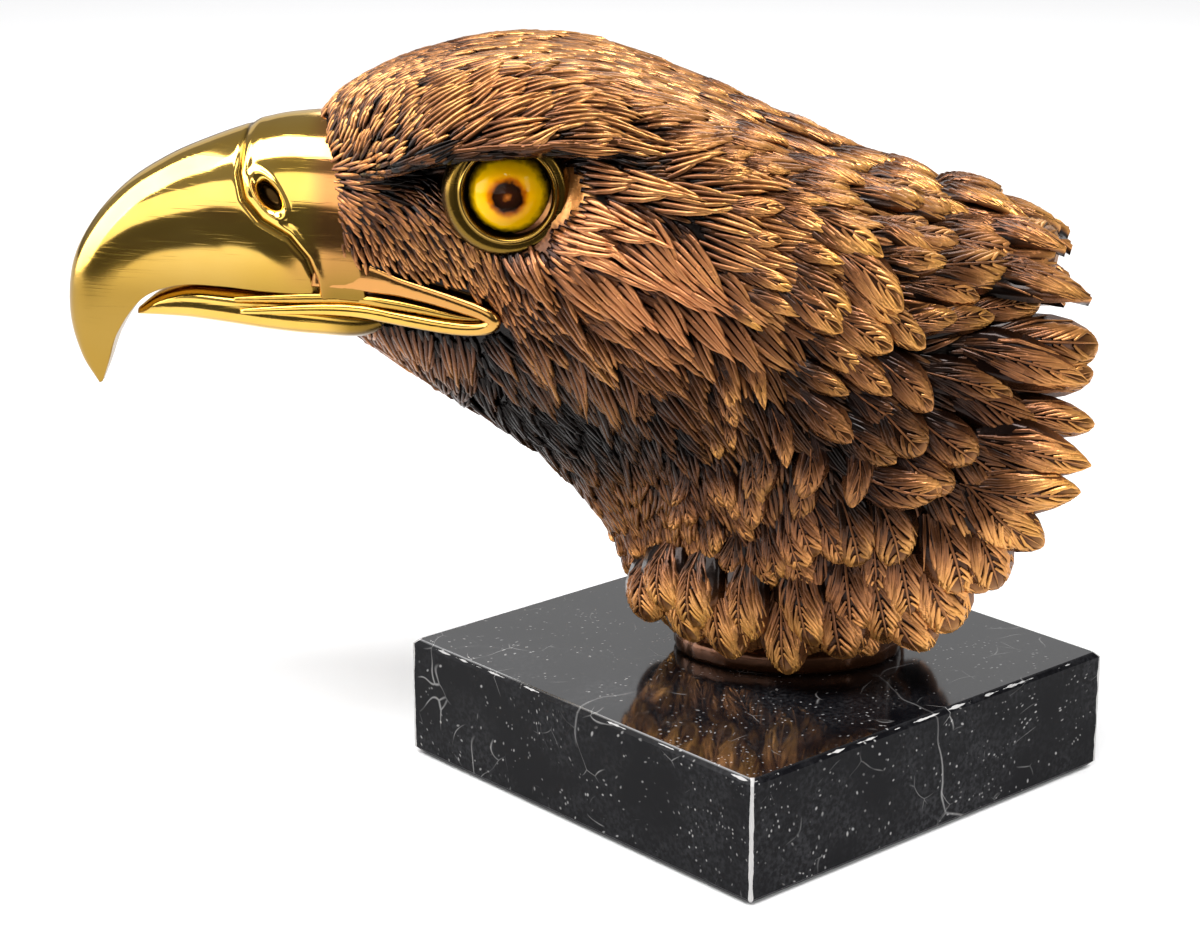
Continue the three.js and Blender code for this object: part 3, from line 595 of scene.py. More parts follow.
def lie_at(skin, u, v):
    """Turn of the feathers' lie from the skin's own line at u, v. Where the skin faces sideways it is the
    mean of the combed directions, each weighted by 1 / (distance^4 + 500), with a slow wave over it,
    and elsewhere it is the net's own lie."""
    p = skin.at(u, v)
    normal, du, dv = skin.sample(skin.normals, u, v), skin.sample(skin.du, u, v), skin.sample(skin.dv, u, v)
    far = (p[:, 0, None] - COMBED[:, 0]) ** 2 + (p[:, 2, None] - COMBED[:, 1]) ** 2
    weight = 1 / (far ** 2 + 500)
    angle = np.radians(COMBED[:, 2])
    dx, dz = (weight * np.cos(angle)).sum(1), (weight * np.sin(angle)).sum(1)
    det = du[:, 0] * dv[:, 2] - du[:, 2] * dv[:, 0]
    det = np.where(np.abs(det) < 1e-3, 1e-3, det)
    a = (dx * dv[:, 2] - dz * dv[:, 0]) / det
    b = (du[:, 0] * dz - du[:, 2] * dx) / det
    course = a[:, None] * du + b[:, None] * dv
    back = unit(du)
    up = np.cross(normal, back)
    combed = np.arctan2((course * up).sum(1), (course * back).sum(1))
    wave = 0.16 * np.sin(p[:, 0] / 5.5 + p[:, 2] / 9) + 0.12 * np.sin(p[:, 0] / 11 - p[:, 2] / 4.5 + 1)
    combed = combed + wave * smoothstep(-96, -70, p[:, 0])
    plain = skin.sample(skin.lie, u, v)[:, 0]
    share = smoothstep(0.35, 0.65, np.abs(normal[:, 1]))
    return plain + share * (np.mod(combed - plain + np.pi, 2 * np.pi) - np.pi)


def corner_half_height(x, height, end):
    """Half-height at x of the wedge of skin behind the eye, which closes at x = end."""
    return height * np.clip((end - x) / CORNER_LENGTH, 0, 1) ** 0.9


def bare_patch(x, z):
    """True where the face is smooth: round the eye, at its corners, and over the lips."""
    outer = (x > EYE[0]) & (x < -37) & (np.abs(z - CORNER_HEIGHT) < corner_half_height(x, 6.3, -36.5))
    inner = (x < EYE[0]) & (x > -73) & (np.abs(z - 150.5) < 5.5 * np.clip((x + 74) / 7, 0, 1))
    lips = (x < MOUTH_CORNER) & (z < np.interp(x, *ABOVE_LIPS.T)) & (z > np.interp(x, *BELOW_LIPS.T))
    return (eye_distance(x, z) < LID_REACH) & (z < brow_height(x) + 0.5) | outer | inner | lips


def unshaded_share(x, z):
    """Share of its brightness the bronze keeps under painted shade: least under the brow, before the eye
    and on the throat and neck.
    """
    # Painted shade: under the brow's lower edge, in the hollow before the eye, and on the throat and neck
    below = brow_height(x) - z
    under = np.where(below > 0, np.exp(-(below / 5.0) ** 2), 0.0)
    under = under * smoothstep(-97, -88, x) * (1 - smoothstep(-44, -34, x))
    hollow = spot(x, z, (-78, 154), (9.0, 7.0)) * (below > -3)
    throat = 0.88 * spot(x, z, (-50, 95), (38, 22))
    neck = 0.80 * spot(x, z, (18, 106), (36, 24))
    return (1 - 0.92 * np.maximum(under, hollow)) * (1 - throat) * (1 - neck)


def copper_share(x, z):
    """Share of copper red on the cheek behind and below the eye."""
    along_cheek = ((x + 34) * 0.88 - (z - 138) * 0.47) / 24
    over_cheek = ((x + 34) * 0.47 + (z - 138) * 0.88) / 12
    return np.exp(-(along_cheek ** 2 + over_cheek ** 2) ** 1.5)


def scattered(skin, low, high, step_along, step_across, rng, keep):
    """Roots in rows over the whole head between stations low and high, step_along apart in millimetres
    along the side and step_across apart round it, and kept where keep(x, z, normal) says so."""
    stations = np.linspace(low, high, 300)
    side = skin.at(stations, np.full(300, 3.0))
    run = np.concatenate([[0], np.cumsum(np.linalg.norm(np.diff(side, axis=0), axis=1))])
    rows = np.interp(np.arange(0, run[-1], step_along), run, stations)
    u, v = rows_of_places(skin, rows, step_across, rng, 0.4)
    p = skin.at(u, v)
    kept = keep(p[:, 0], p[:, 2], skin.sample(skin.normals, u, v))
    return u[kept], v[kept]


def clear_of_face(skin, u, v, turn, length):
    """True for strands whose root, middle and tip all stay off the smooth parts of the face and whose
    course doesn't cross the brow's edge."""
    clear = np.ones(len(u), bool)
    heights = []
    sideways = np.abs(skin.sample(skin.normals, u, v)[:, 1]) > 0.3
    for share in (0.0, 0.5, 1.0):
        reach = (length * share)[:, None]
        p = skin.lay(u, v, turn, reach, 0 * reach, 0 * reach)[:, 0]
        clear &= ~(bare_patch(p[:, 0], p[:, 2]) & sideways)
        heights.append(p[:, 2] - brow_height(p[:, 0]))
    root, _, tip = heights
    near_brow = (p[:, 0] > -80) & (p[:, 0] < -40)
    crossing = near_brow & (np.sign(root) != np.sign(tip)) & (np.abs(root) + np.abs(tip) > 1.5)
    return clear & ~crossing


# Settings

class SculptureSettings(bpy.types.PropertyGroup):
    """Sizes in the carving that can be changed in the sidebar"""
    seed: bpy.props.IntProperty(
        name="Seed", description="Start of the feathers' and strands' irregularity", default=7, min=0)
    strand_pitch: bpy.props.FloatProperty(
        name="Strand pitch", description="Distance between the strands of the face", default=1.0 * MM,
        min=0.5 * MM, max=3.0 * MM, subtype="DISTANCE", unit="LENGTH", precision=5)
    rim_width: bpy.props.FloatProperty(
        name="Rim feather width", description="Width of the feathers along the neck's rim",
        default=16.5 * MM, min=6.0 * MM, max=30.0 * MM, subtype="DISTANCE", unit="LENGTH", precision=4)
    barbs: bpy.props.IntProperty(
        name="Barbs a side", description="Barbs on each side of a rim feather's shaft", default=14,
        min=4, max=30)
    lip_radius: bpy.props.FloatProperty(
        name="Lip radius", description="Half the thickness of the rolled lips", default=2.3 * MM,
        min=0.5 * MM, max=5.0 * MM, subtype="DISTANCE", unit="LENGTH", precision=4)
    eye_diameter: bpy.props.FloatProperty(
        name="Eye diameter", description="Diameter of the glass eyes", default=21.0 * MM,
        min=10.0 * MM, max=30.0 * MM, subtype="DISTANCE", unit="LENGTH", precision=4)
    foot_length: bpy.props.FloatProperty(
        name="Foot length", description="Size of the foot from front to back", default=52.0 * MM,
        min=20.0 * MM, max=80.0 * MM, subtype="DISTANCE", unit="LENGTH", precision=4)
    foot_width: bpy.props.FloatProperty(
        name="Foot width", description="Size of the foot from side to side", default=37.0 * MM,
        min=20.0 * MM, max=60.0 * MM, subtype="DISTANCE", unit="LENGTH", precision=4)


class FinishSettings(bpy.types.PropertyGroup):
    """Colours of the metal, the eyes and the marble"""
    recess: bpy.props.FloatVectorProperty(
        name="Recesses", description="Bronze between the strands", subtype="COLOR", min=0.0, max=1.0,
        default=(0.004, 0.0018, 0.001))
    patina: bpy.props.FloatVectorProperty(
        name="Patina", description="Bronze where it isn't rubbed", subtype="COLOR", min=0.0, max=1.0,
        default=(0.170, 0.062, 0.020))
    rubbed: bpy.props.FloatVectorProperty(
        name="Rubbed bronze", description="Bronze on the ridges", subtype="COLOR", min=0.0, max=1.0,
        default=(0.82, 0.38, 0.130))
    gilt: bpy.props.FloatVectorProperty(
        name="Tips", description="Bronze at the feathers' tips", subtype="COLOR", min=0.0, max=1.0,
        default=(0.86, 0.42, 0.085))
    copper: bpy.props.FloatVectorProperty(
        name="Copper red", description="Bronze on the cheek", subtype="COLOR", min=0.0, max=1.0,
        default=(0.66, 0.26, 0.100))
    brass: bpy.props.FloatVectorProperty(
        name="Brass", description="Polished beak, lips and eyelids", subtype="COLOR", min=0.0, max=1.0,
        default=(0.88, 0.57, 0.140))
    iris: bpy.props.FloatVectorProperty(
        name="Iris", description="Brightest ring of the eye", subtype="COLOR", min=0.0, max=1.0,
        default=(1.0, 0.60, 0.0))
    vein: bpy.props.FloatVectorProperty(
        name="Veins", description="Veins and specks of the marble", subtype="COLOR", min=0.0, max=1.0,
        default=(0.62, 0.61, 0.60))


# Materials

# Second tones of the metals, and the brass's olive and near-black tones for pits, painted shade and painted
# reflection
PATINA_SHADE = (0.100, 0.034, 0.012)
RUBBED_SHADE = (0.62, 0.245, 0.080)
COPPER_SHADE = (0.035, 0.010, 0.005)
BRASS_SHADE = (0.80, 0.49, 0.090)
BRASS_COPPER = (0.70, 0.31, 0.105)
BRASS_OLIVE_SHADE = (0.22, 0.130, 0.022)
BRASS_PIT_SHADE = (0.030, 0.014, 0.006)
# Outermost ring of the painted eye, in millimetres
IRIS_REACH = 12
# The plinth in metres: half-diagonal and top, how far out its upright corners begin, and the heights
# between which its sawn sides turn into the polished top
MARBLE_BLACK = (0.003, 0.003, 0.004)
MARBLE_GRAIN = (0.030, 0.030, 0.033)
PLINTH_HALF_DIAGONAL = 0.084853
PLINTH_TOP = 0.030
PLINTH_CORNER = 0.0825
PLINTH_POLISH = (0.0296, 0.0300)


class Nodes:
    """A material's node tree, with short ways to add and join nodes."""

    def __init__(self, name):
        self.material = bpy.data.materials.new(name)
        self.material.use_nodes = True
        self.tree = self.material.node_tree
        self.shader = self.tree.nodes["Principled BSDF"]

    def add(self, kind, inputs=None, **settings):
        """A new node with these settings, and with numbers or links on its inputs."""
        node = self.tree.nodes.new(kind)
        for key, value in settings.items():
            setattr(node, key, value)
        for key, value in (inputs or {}).items():
            self.put(value, node.inputs[key])
        return node

    def put(self, value, socket):
        """Links an output to the socket, or sets its number or colour."""
        if isinstance(value, bpy.types.NodeSocket):
            self.tree.links.new(value, socket)
        elif isinstance(socket, bpy.types.NodeSocketColor):
            socket.default_value = (*value, 1.0)
        else:
            socket.default_value = value

    def value(self, name):
        """A value stored on the mesh's points."""
        return self.add("ShaderNodeAttribute", attribute_name=name).outputs["Fac"]

    def place(self):
        """Object coordinates, in metres."""
        return self.add("ShaderNodeTexCoord").outputs["Object"]

    def noise(self, scale, detail, vector=None, roughness=0.5):
        """Clouds of this many to the metre, on the piece's place unless another vector is given."""
        vector = self.place() if vector is None else vector
        node = self.add("ShaderNodeTexNoise", {"Vector": vector, "Scale": scale, "Detail": detail,
                                              "Roughness": roughness})
        return node.outputs["Fac"]

    def cells(self, vector, scale, feature="F1"):
        """Distances in a pattern of cells: to their middles, or to their edges."""
        node = self.add("ShaderNodeTexVoronoi", {"Vector": vector, "Scale": scale}, feature=feature)
        return node.outputs["Distance"]

    def map(self, value, low, high, to_low=0.0, to_high=1.0, smooth=False):
        """Carries the range low to high onto another, with flat ends."""
        node = self.add("ShaderNodeMapRange", {"Value": value, "From Min": low, "From Max": high,
                                              "To Min": to_low, "To Max": to_high})
        node.interpolation_type = "SMOOTHSTEP" if smooth else "LINEAR"
        return node.outputs["Result"]

    def math(self, operation, *values):
        """One step of arithmetic on two values, or on each further one and what came before."""
        result = values[0]
        for value in values[1:] or (0.0,):
            node = self.add("ShaderNodeMath", operation=operation)
            self.put(result, node.inputs[0])
            self.put(value, node.inputs[1])
            result = node.outputs["Value"]
        return result

    def times(self, *values):
        """The product of some values."""
        return self.math("MULTIPLY", *values)

    def mix(self, share, a, b):
        """Colour a to colour b."""
        node = self.add("ShaderNodeMix", data_type="RGBA")
        self.put(share, node.inputs[0])
        self.put(a, node.inputs[6])
        self.put(b, node.inputs[7])
        return node.outputs[2]

    def bump(self, height, distance, strength):
        """Fine relief from a height."""
        node = self.add("ShaderNodeBump", {"Height": height, "Distance": distance, "Strength": strength})
        return node.outputs["Normal"]

    def finish(self, **inputs):
        """Sets the shader's inputs, with _ for the spaces in their names, and gives the material."""
        for key, value in inputs.items():
            self.put(value, self.shader.inputs[key.replace("_", " ")])
        return self.material


@functools.lru_cache(maxsize=None)
def bronze():
    """Patinated bronze: dark in the recesses, brown on the skin, orange where ridges are worn, golden at
    the feather tips and copper red where the tone says so. The value on the points carries both wear and
    painted shade: darker towards the roots of strands and feathers, under the brow, before the eye and on
    the throat and neck."""
    finish = bpy.context.scene.finishes
    n = Nodes("patinated bronze")
    wear, tip, tone = n.value("wear"), n.value("tip"), n.value("tone")
    cloud = n.noise(38.0, 4.0)
    mottle = n.noise(240.0, 3.0)
    brown = n.mix(n.map(cloud, 0.35, 0.65), PATINA_SHADE, finish.patina)
    orange = n.mix(n.map(cloud, 0.35, 0.65), RUBBED_SHADE, finish.rubbed)
    # A low value, from the recesses or from painted shade, turns the bronze dark
    low = n.mix(n.map(wear, 0.10, 0.48, smooth=True), finish.recess, brown)
    rubbed = n.times(n.map(wear, 0.38, 0.95, smooth=True), n.map(mottle, 0.30, 0.60, 0.5, 1.0))
    ridge = n.mix(rubbed, low, orange)
    golden = n.times(tip, n.map(wear, 0.15, 0.8), n.map(cloud, 0.35, 0.6, 0.25, 1.0))
    gilt = n.mix(golden, ridge, finish.gilt)
    copper = n.mix(n.map(wear, 0.1, 0.7, smooth=True), COPPER_SHADE, finish.copper)
    return n.finish(Base_Color=n.mix(tone, gilt, copper), Metallic=0.6,
                    Roughness=n.map(mottle, 0.3, 0.7, 0.17, 0.30), Coat_Weight=0.14, Coat_Roughness=0.07,
                    Specular_IOR_Level=0.15, Normal=n.bump(n.noise(900.0, 2.0), 0.0002, 0.35))


@functools.lru_cache(maxsize=None)
def brass():
    """Polished brass: gold, with copper tints where the tone says so, olive and then near black where the
    pit and shade value rises, for pits, painted shade and painted reflection, and fine scratches in two
    directions."""
    n = Nodes("polished brass")
    tone, pit = n.value("tone"), n.value("pit")
    gold = n.mix(n.map(n.noise(45.0, 3.0), 0.35, 0.65), BRASS_SHADE, bpy.context.scene.finishes.brass)
    tinted = n.mix(tone, gold, BRASS_COPPER)
    # Olive for the painted reflection of the dark room and light painted shade, near black in pits and deep
    # painted shade
    olive = n.mix(n.map(pit, 0.0, 0.5), tinted, BRASS_OLIVE_SHADE)
    colour = n.mix(n.map(pit, 0.5, 1.0), olive, BRASS_PIT_SHADE)
    marks = []
    for turn in (0.55, -0.9):
        stretched = n.add("ShaderNodeMapping", {"Vector": n.place(), "Rotation": (0.0, turn, 0.0),
                                                "Scale": (40.0, 250.0, 1600.0)}).outputs["Vector"]
        marks.append(n.noise(1.0, 2.0, stretched, 0.6))
    scratch = n.math("ADD", n.map(marks[0], 0.60, 0.72), n.map(marks[1], 0.62, 0.74))
    rough = n.math("ADD", n.map(scratch, 0.0, 1.0, 0.09, 0.16), n.times(pit, 0.25))
    return n.finish(Base_Color=colour, Metallic=1.0, Roughness=rough, Normal=n.bump(scratch, 0.00003, 0.2))


@functools.lru_cache(maxsize=None)
def iris():
    """Painted eye: rings by distance from its middle, in millimetres, stored on the points."""
    n = Nodes("painted iris")
    jagged = n.math("ADD", n.value("ring"), n.map(n.noise(700.0, 2.0), 0.3, 0.7, -0.35, 0.35))
    ramp = n.add("ShaderNodeValToRGB", {"Fac": n.map(jagged, 0.0, IRIS_REACH)})
    # From 8.6 mm out the ring turns olive and then near black: painted shade of the glass's edge under the
    # lids
    stops = [(0.0, (0.60, 0.20, 0.03)), (0.5, (0.30, 0.08, 0.01)), (1.2, (0.030, 0.008, 0.003)),
             (3.4, (0.010, 0.003, 0.001)), (4.2, (0.55, 0.13, 0.001)), (5.2, (1.0, 0.50, 0.0)),
             (7.6, bpy.context.scene.finishes.iris), (8.6, (0.45, 0.25, 0.001)),
             (9.5, (0.04, 0.035, 0.004)), (10.3, (0.006, 0.005, 0.003))]
    for index, (radius, rgb) in enumerate(stops):
        elements = ramp.color_ramp.elements
        stop = elements[index] if index < 2 else elements.new(radius / IRIS_REACH)
        stop.position = radius / IRIS_REACH
        stop.color = (*rgb, 1.0)
    return n.finish(Base_Color=ramp.outputs["Color"], Roughness=1.0, Specular_IOR_Level=0.0)


@functools.lru_cache(maxsize=None)
def glass():
    """Clear glass."""
    return Nodes("eye glass").finish(Base_Color=(1.0, 1.0, 1.0), Roughness=0.0, IOR=1.22,
                                     Transmission_Weight=1.0)


@functools.lru_cache(maxsize=None)
def marble():
    """Black marble: polished, with bent white veins, scattered specks and pale edges, partly worn and
    partly a painted highlight along the polished edges. Distances to the edges come from the slab's
    half-diagonal and thickness."""
    n = Nodes("black marble")
    place = n.place()
    bend = n.add("ShaderNodeTexNoise", {"Vector": place, "Scale": 18.0, "Detail": 3.0}).outputs["Color"]
    warp = n.add("ShaderNodeMix", data_type="RGBA", blend_type="LINEAR_LIGHT")
    n.put(0.02, warp.inputs[0])
    n.put(place, warp.inputs[6])
    n.put(bend, warp.inputs[7])
    warped = warp.outputs[2]
    edges = "DISTANCE_TO_EDGE"
    thin = n.times(n.map(n.cells(warped, 13.0, edges), 0.0, 0.006, 1.0, 0.0),
                   n.map(n.noise(26.0, 3.0), 0.52, 0.66))
    dots = n.times(n.map(n.cells(warped, 520.0), 0.10, 0.22, 1.0, 0.0),
                   n.map(n.noise(120.0, 2.0), 0.46, 0.58))
    fine = n.times(n.map(n.cells(warped, 95.0, edges), 0.0, 0.016, 1.0, 0.0),
                   n.map(n.noise(70.0, 2.0), 0.55, 0.66))
    axes = n.add("ShaderNodeSeparateXYZ", {"Vector": place}).outputs
    along_x, along_y = n.math("ABSOLUTE", axes["X"]), n.math("ABSOLUTE", axes["Y"])
    side = n.times(n.math("SUBTRACT", PLINTH_HALF_DIAGONAL, n.math("ADD", along_x, along_y)), 0.7071)
    top = n.math("SUBTRACT", PLINTH_TOP, axes["Z"])
    # Pale along the top edges and the upright corners: worn chips and a painted highlight of the polished
    # edges
    ragged = n.map(n.noise(160.0, 3.0), 0.35, 0.7, 0.00035, 0.0009)
    rim = n.times(n.math("LESS_THAN", side, ragged), n.math("LESS_THAN", top, ragged))
    upright = n.times(n.math("LESS_THAN", n.math("MINIMUM", along_x, along_y), n.times(ragged, 0.7)),
                      n.math("GREATER_THAN", n.math("MAXIMUM", along_x, along_y), PLINTH_CORNER))
    worn_and_lit = n.math("MAXIMUM", rim, upright)
    light = n.math("ADD", n.times(thin, 0.38), n.math("ADD", n.times(dots, 0.5), n.times(fine, 0.4)))
    white = n.math("MAXIMUM", n.math("MINIMUM", light, 1.0), n.times(worn_and_lit, 0.8))
    grain = n.times(n.map(n.noise(55.0, 4.0), 0.35, 0.7), n.map(n.noise(900.0, 3.0), 0.4, 0.7))
    base = n.mix(grain, MARBLE_BLACK, MARBLE_GRAIN)
    pale = n.mix(white, base, bpy.context.scene.finishes.vein)
    return n.finish(Base_Color=pale, Roughness=n.map(axes["Z"], *PLINTH_POLISH, 0.30, 0.08), IOR=1.5,
                    Specular_IOR_Level=n.map(axes["Z"], *PLINTH_POLISH, 0.06, 1.0))


# Pieces

class SCULPTURE_OT_skin(bpy.types.Operator):
    """The cast skin under the feathers: the net carved by relief, closed at the face and by a swelling
    end, with the foot it stands on"""
    bl_idname = "sculpture.skin"
    bl_label = "Skin and foot"

    def execute(self, context):
        skin = head_surface()
        settings = context.scene.sculpture
        soup = Soup()
        u = skin.u[(skin.u >= FACE_STATION) & (skin.u <= END_STATION)][::2]
        v = skin.v[:-1][::2]
        uu, vv = (table.ravel() for table in np.meshgrid(u, v, indexing="ij"))
        body = skin.at(uu, vv, -0.5).reshape(len(u), len(v), 3)
        x, z = body[..., 0], body[..., 2]
        sideways = np.abs(skin.sample(skin.normals, uu, vv)[:, 1]) > 0.3
        smooth_face = bare_patch(x, z) * sideways.reshape(x.shape)
        front = np.broadcast_to(body[:1].mean(axis=(0, 1)), body[:1].shape)
        share = np.linspace(0.08, 1, END_STEPS)[:, None, None]
        out = unit(skin.sample(skin.du, np.full(len(v), END_STATION), v) * (1, 0, 1))
        rung = np.where(v <= RUNGS, v, 2 * RUNGS - v)
        swell = END_SWELL * (1 - (1 - share) ** 2) * np.sqrt(np.sin(np.pi * rung / RUNGS))[:, None]
        closing = body[-1] * np.where(np.arange(3) == 1, 1 - share, 1.0) + out * swell

        def with_closing(value, end):
            """A table of the body's values with 0 on the front point and one value on the closed end."""
            return np.concatenate([0 * x[:1], value, np.full((END_STEPS, len(v)), end)])

        wedge = corner_half_height(x, 8.5, -36.0) - np.abs(z - CORNER_HEIGHT)
        corner = 0.8 * smoothstep(-52, -47, x) * smoothstep(0, 1.2, wedge)
        socket = 0.30 * (1 - smoothstep(14, 24, eye_distance(x, z))) * (z < brow_height(x))
        points = np.concatenate([front, body, closing])
        soup.add(points, grid_faces(len(points), len(v), wrap=True)[:, ::-1],
                 wear=with_closing(np.maximum(0.03, socket) + 0.15 * smooth_face + 0.4 * corner, 0.22),
                 tip=with_closing(0.3 * corner, 0.0),
                 tone=with_closing(0.3 * smooth_face * (1 - corner), 0.0))
        turn = np.linspace(0, 2 * math.pi, FOOT_STEPS, endpoint=False)
        ripple = 1 + 0.006 * np.sin(turn * 17) + 0.004 * np.sin(turn * 29 + 1)
        half_length, half_width = 0.5 * in_mm(settings.foot_length), 0.5 * in_mm(settings.foot_width)
        foot = np.stack([FOOT_MIDDLE - FOOT[:, :1] * half_length * np.cos(turn) * ripple,
                         FOOT[:, :1] * half_width * np.sin(turn) * ripple,
                         FOOT[:, 1:] + 0 * turn], axis=-1)
        soup.add(foot, grid_faces(len(FOOT), FOOT_STEPS, wrap=True)[:, ::-1], wear=0.30, tip=0.0, tone=0.1)
        make_piece("bronze_skin", soup, bronze())
        return {"FINISHED"}


def lore_region(x, z, normal):
    """Between beak and eye, under the brow."""
    return (x < -60) & (z < brow_height(x)) & (z > 116) & (np.abs(normal[:, 1]) > 0.35)


def eyelid_region(x, z, normal):
    """Under the eye."""
    return (x >= -68) & (x < -40) & (z < 145) & (z > 117) & (np.abs(normal[:, 1]) > 0.35)


def forehead_region(x, z, normal):
    """Over the brow's front."""
    return (x < -74) & (z >= brow_height(x))


def crown_region(x, z, normal):
    """Over the brow and on the crown."""
    return (x >= -80) & (z >= brow_height(x)) & (x < 8)


def cheek_region(x, z, normal):
    """Behind and below the eye."""
    return (x >= -56) & (z < 158) & (z > 100) & (x < 14) & (np.abs(normal[:, 1]) > 0.3)


def throat_region(x, z, normal):
    """Under the beak and down the neck's front."""
    return (z <= 119) & ((x < -14) | (z < 62))


def under_region(x, z, normal):
    """The whole head and the neck's foot, under the other strands."""
    return (x < 12) | (z < 60)


def neck_region(x, z, normal):
    """The neck, between its feathers."""
    return (x > -25) | (z < 70)


# Rows of tufts stand ROW_STEP of a strand's length apart, and tufts in a row TUFT_STEP of their width.
# The first ones stand behind CERE_REAR.
ROW_STEP = 0.46
TUFT_STEP = 0.90
CERE_REAR = -101.8
# The fields of each piece of strands: first and last station, region, length of a strand in millimetres,
# its breadth in strand pitches, strands in a tuft, lift of the tips, height of a strand, and how far the
# tuft draws in. Strands that are sunk under the others, with a lift below 0, are made darker.
STRAND_FIELDS = {
    "under_strands": [(0.42, 4.9, under_region, 11.0, 1.7, 2, -0.3, 0.6, 0.0)],
    "fine_strands": [(0.2, 2.7, lore_region, 5.5, 1.15, 1, 0.15, 0.6, 0.0),
                     (1.8, 3.2, eyelid_region, 9.0, 1.35, 3, 0.3, 0.7, 0.25),
                     (0.02, 2.1, forehead_region, 8.5, 1.25, 2, 0.10, 0.65, 0.1)],
    "crown_strands": [(1.3, 4.9, crown_region, 16.0, 1.45, 5, 0.8, 0.9, 0.4)],
    "cheek_strands": [(2.3, 4.9, cheek_region, 18.0, 1.7, 5, 1.4, 1.1, 0.6)],
    "throat_strands": [(0.05, 4.9, throat_region, 12.0, 1.55, 4, 1.0, 0.85, 0.7)],
    "neck_strands": [(3.9, 5.75, neck_region, 17.0, 1.8, 4, 0.4, 0.8, 0.5)],
}


class SCULPTURE_OT_strands(bpy.types.Operator):
    """The fine strands and small pointed feathers of the face, crown, cheeks and throat"""
    bl_idname = "sculpture.strands"
    bl_label = "Strands"

    def execute(self, context):
        skin = head_surface()
        settings = context.scene.sculpture
        rng = np.random.default_rng(settings.seed)
        pitch = in_mm(settings.strand_pitch)
        for name, fields in STRAND_FIELDS.items():
            soup = Soup()
            for field in fields:
                self.grow(soup, skin, pitch, rng, *field)
            make_piece(name, soup, bronze())
        self.brow(skin, pitch, rng)
        return {"FINISHED"}

    def grow(self, soup, skin, pitch, rng, low, high, region, length, breadth, count, lift, height, gather):
        """One field of tufts, rooted behind the cere's ragged edge and off the smooth parts."""
        gap = breadth * pitch
        u, v = scattered(skin, low, high, ROW_STEP * length, TUFT_STEP * gap * max(count, 1.15), rng,
                         region)
        front = skin.at(u, v)
        edge = CERE_REAR + 0.9 * np.sin(front[:, 2] / 2.3) + rng.uniform(-1.4, 1.4, len(u))
        behind = ~(front[:, 0] < edge - 6 * smoothstep(150, 160, front[:, 2]))
        u, v = u[behind], v[behind]
        turn = lie_at(skin, u, v) + rng.normal(0, 0.045, len(u))
        lengths = length * rng.uniform(0.8, 1.25, len(u))
        clear = clear_of_face(skin, u, v, turn, lengths)
        u, v, turn, lengths = u[clear], v[clear], turn[clear], lengths[clear]
        p = skin.at(u, v)
        tone = copper_share(p[:, 0], p[:, 2]) * rng.uniform(0.75, 1.0, len(u))
        # How bright the tufts are: dimmed by painted shade under the brow, before the eye and on the throat
        # and neck, and more for sunk strands
        worn_and_lit = unshaded_share(p[:, 0], p[:, 2]) * (0.4 if lift < 0 else 1.0)
        add_tufts(soup, skin, u, v, turn, lengths, gap, count, lift * rng.uniform(0.6, 1.3, len(u)),
                  height, gather, tone, worn_and_lit, rng)

    def brow(self, skin, pitch, rng):
        """Long strands in three rows that follow the brow's edge and overhang it, darkest in the lowest
        row: painted shade along the brow's lower edge.
        """
        x = np.repeat(np.arange(-82, -36, 1.6), 3)
        above = np.tile([0.3, 1.5, 2.8], len(x) // 3) + rng.uniform(-0.3, 0.3, len(x))
        x = x + rng.uniform(-1.5, 1.5, len(x))
        u, v = place_of(skin, x, brow_height(x) + above)
        du = skin.sample(skin.du, u, v)
        slope = np.arctan2(brow_height(x + 4) - brow_height(x - 4), 8.0)
        turn = slope - np.arctan2(du[:, 2], du[:, 0]) + rng.normal(0.03, 0.05, len(x))
        soup = Soup()
        # Darker nearer the brow's edge: painted shade under its overhang
        add_strands(soup, skin, u, v, turn, rng.uniform(9, 14, len(x)), 1.4 * pitch, 0.7,
                    rng.uniform(-0.5, 1.2, len(x)), 0.5, worn_and_lit=0.05 + 0.5 * above / 3, gilt=0.0)
        make_piece("brow_strands", soup, bronze(), mirror=True)


# Tips of the rim's feathers in the side view: x, z, degrees from straight back, length, and their y.
# Each is listed at the height it would have at y = RIM_DEPTH, and lies lower by RIM_SLANT for each
# millimetre nearer to the middle.
RIM_TIPS = [
    (42, 154.5, -12, 22, -7), (57, 150.0, -12, 24, -9), (70, 141, -14, 27, -15), (75, 128.5, -18, 30, -24),
    (76, 110.5, -15, 32, -31), (77, 93, -12, 32, -35), (73.5, 81, -6, 32, -36), (66, 70, -35, 28, -36),
    (55.5, 58.5, -66, 27, -35), (43.0, 47.5, -72, 28, -34), (33, 45.0, -78, 28, -33),
    (21, 41.5, -84, 28, -33), (7.5, 37.0, -86, 27, -32), (-6, 40, -88, 26, -29), (-16, 43.5, -90, 22, -24),
    (-24, 48, -92, 18, -17)]
RIM_DEPTH = -36.0
RIM_SLANT = 0.312
# From this tip on, a second row hangs between the first row's tips, moved by this much.
FIRST_HANGING = 7
SECOND_ROW = (-1.5, 5.0, 0, -2.0, -1.5)
# How much each tip strays from its place in the list
RIM_STRAY = (1.0, 0.8, 4.0, 2.0, 0.5)
# Height of the arch of a hanging feather, in millimetres
RIM_ARCH = 1.5
# Rows of the neck's feathers: station, width and length in millimetres
UPPER_ROWS = [(3.9, 8.0, 19.0), (4.18, 8.6, 20.0), (4.46, 9.4, 22.0), (4.74, 10.4, 24.0)]
LOWER_ROWS = [(5.02, 11.4, 26.0), (5.28, 12.4, 27.0), (5.54, 13.4, 28.0)]


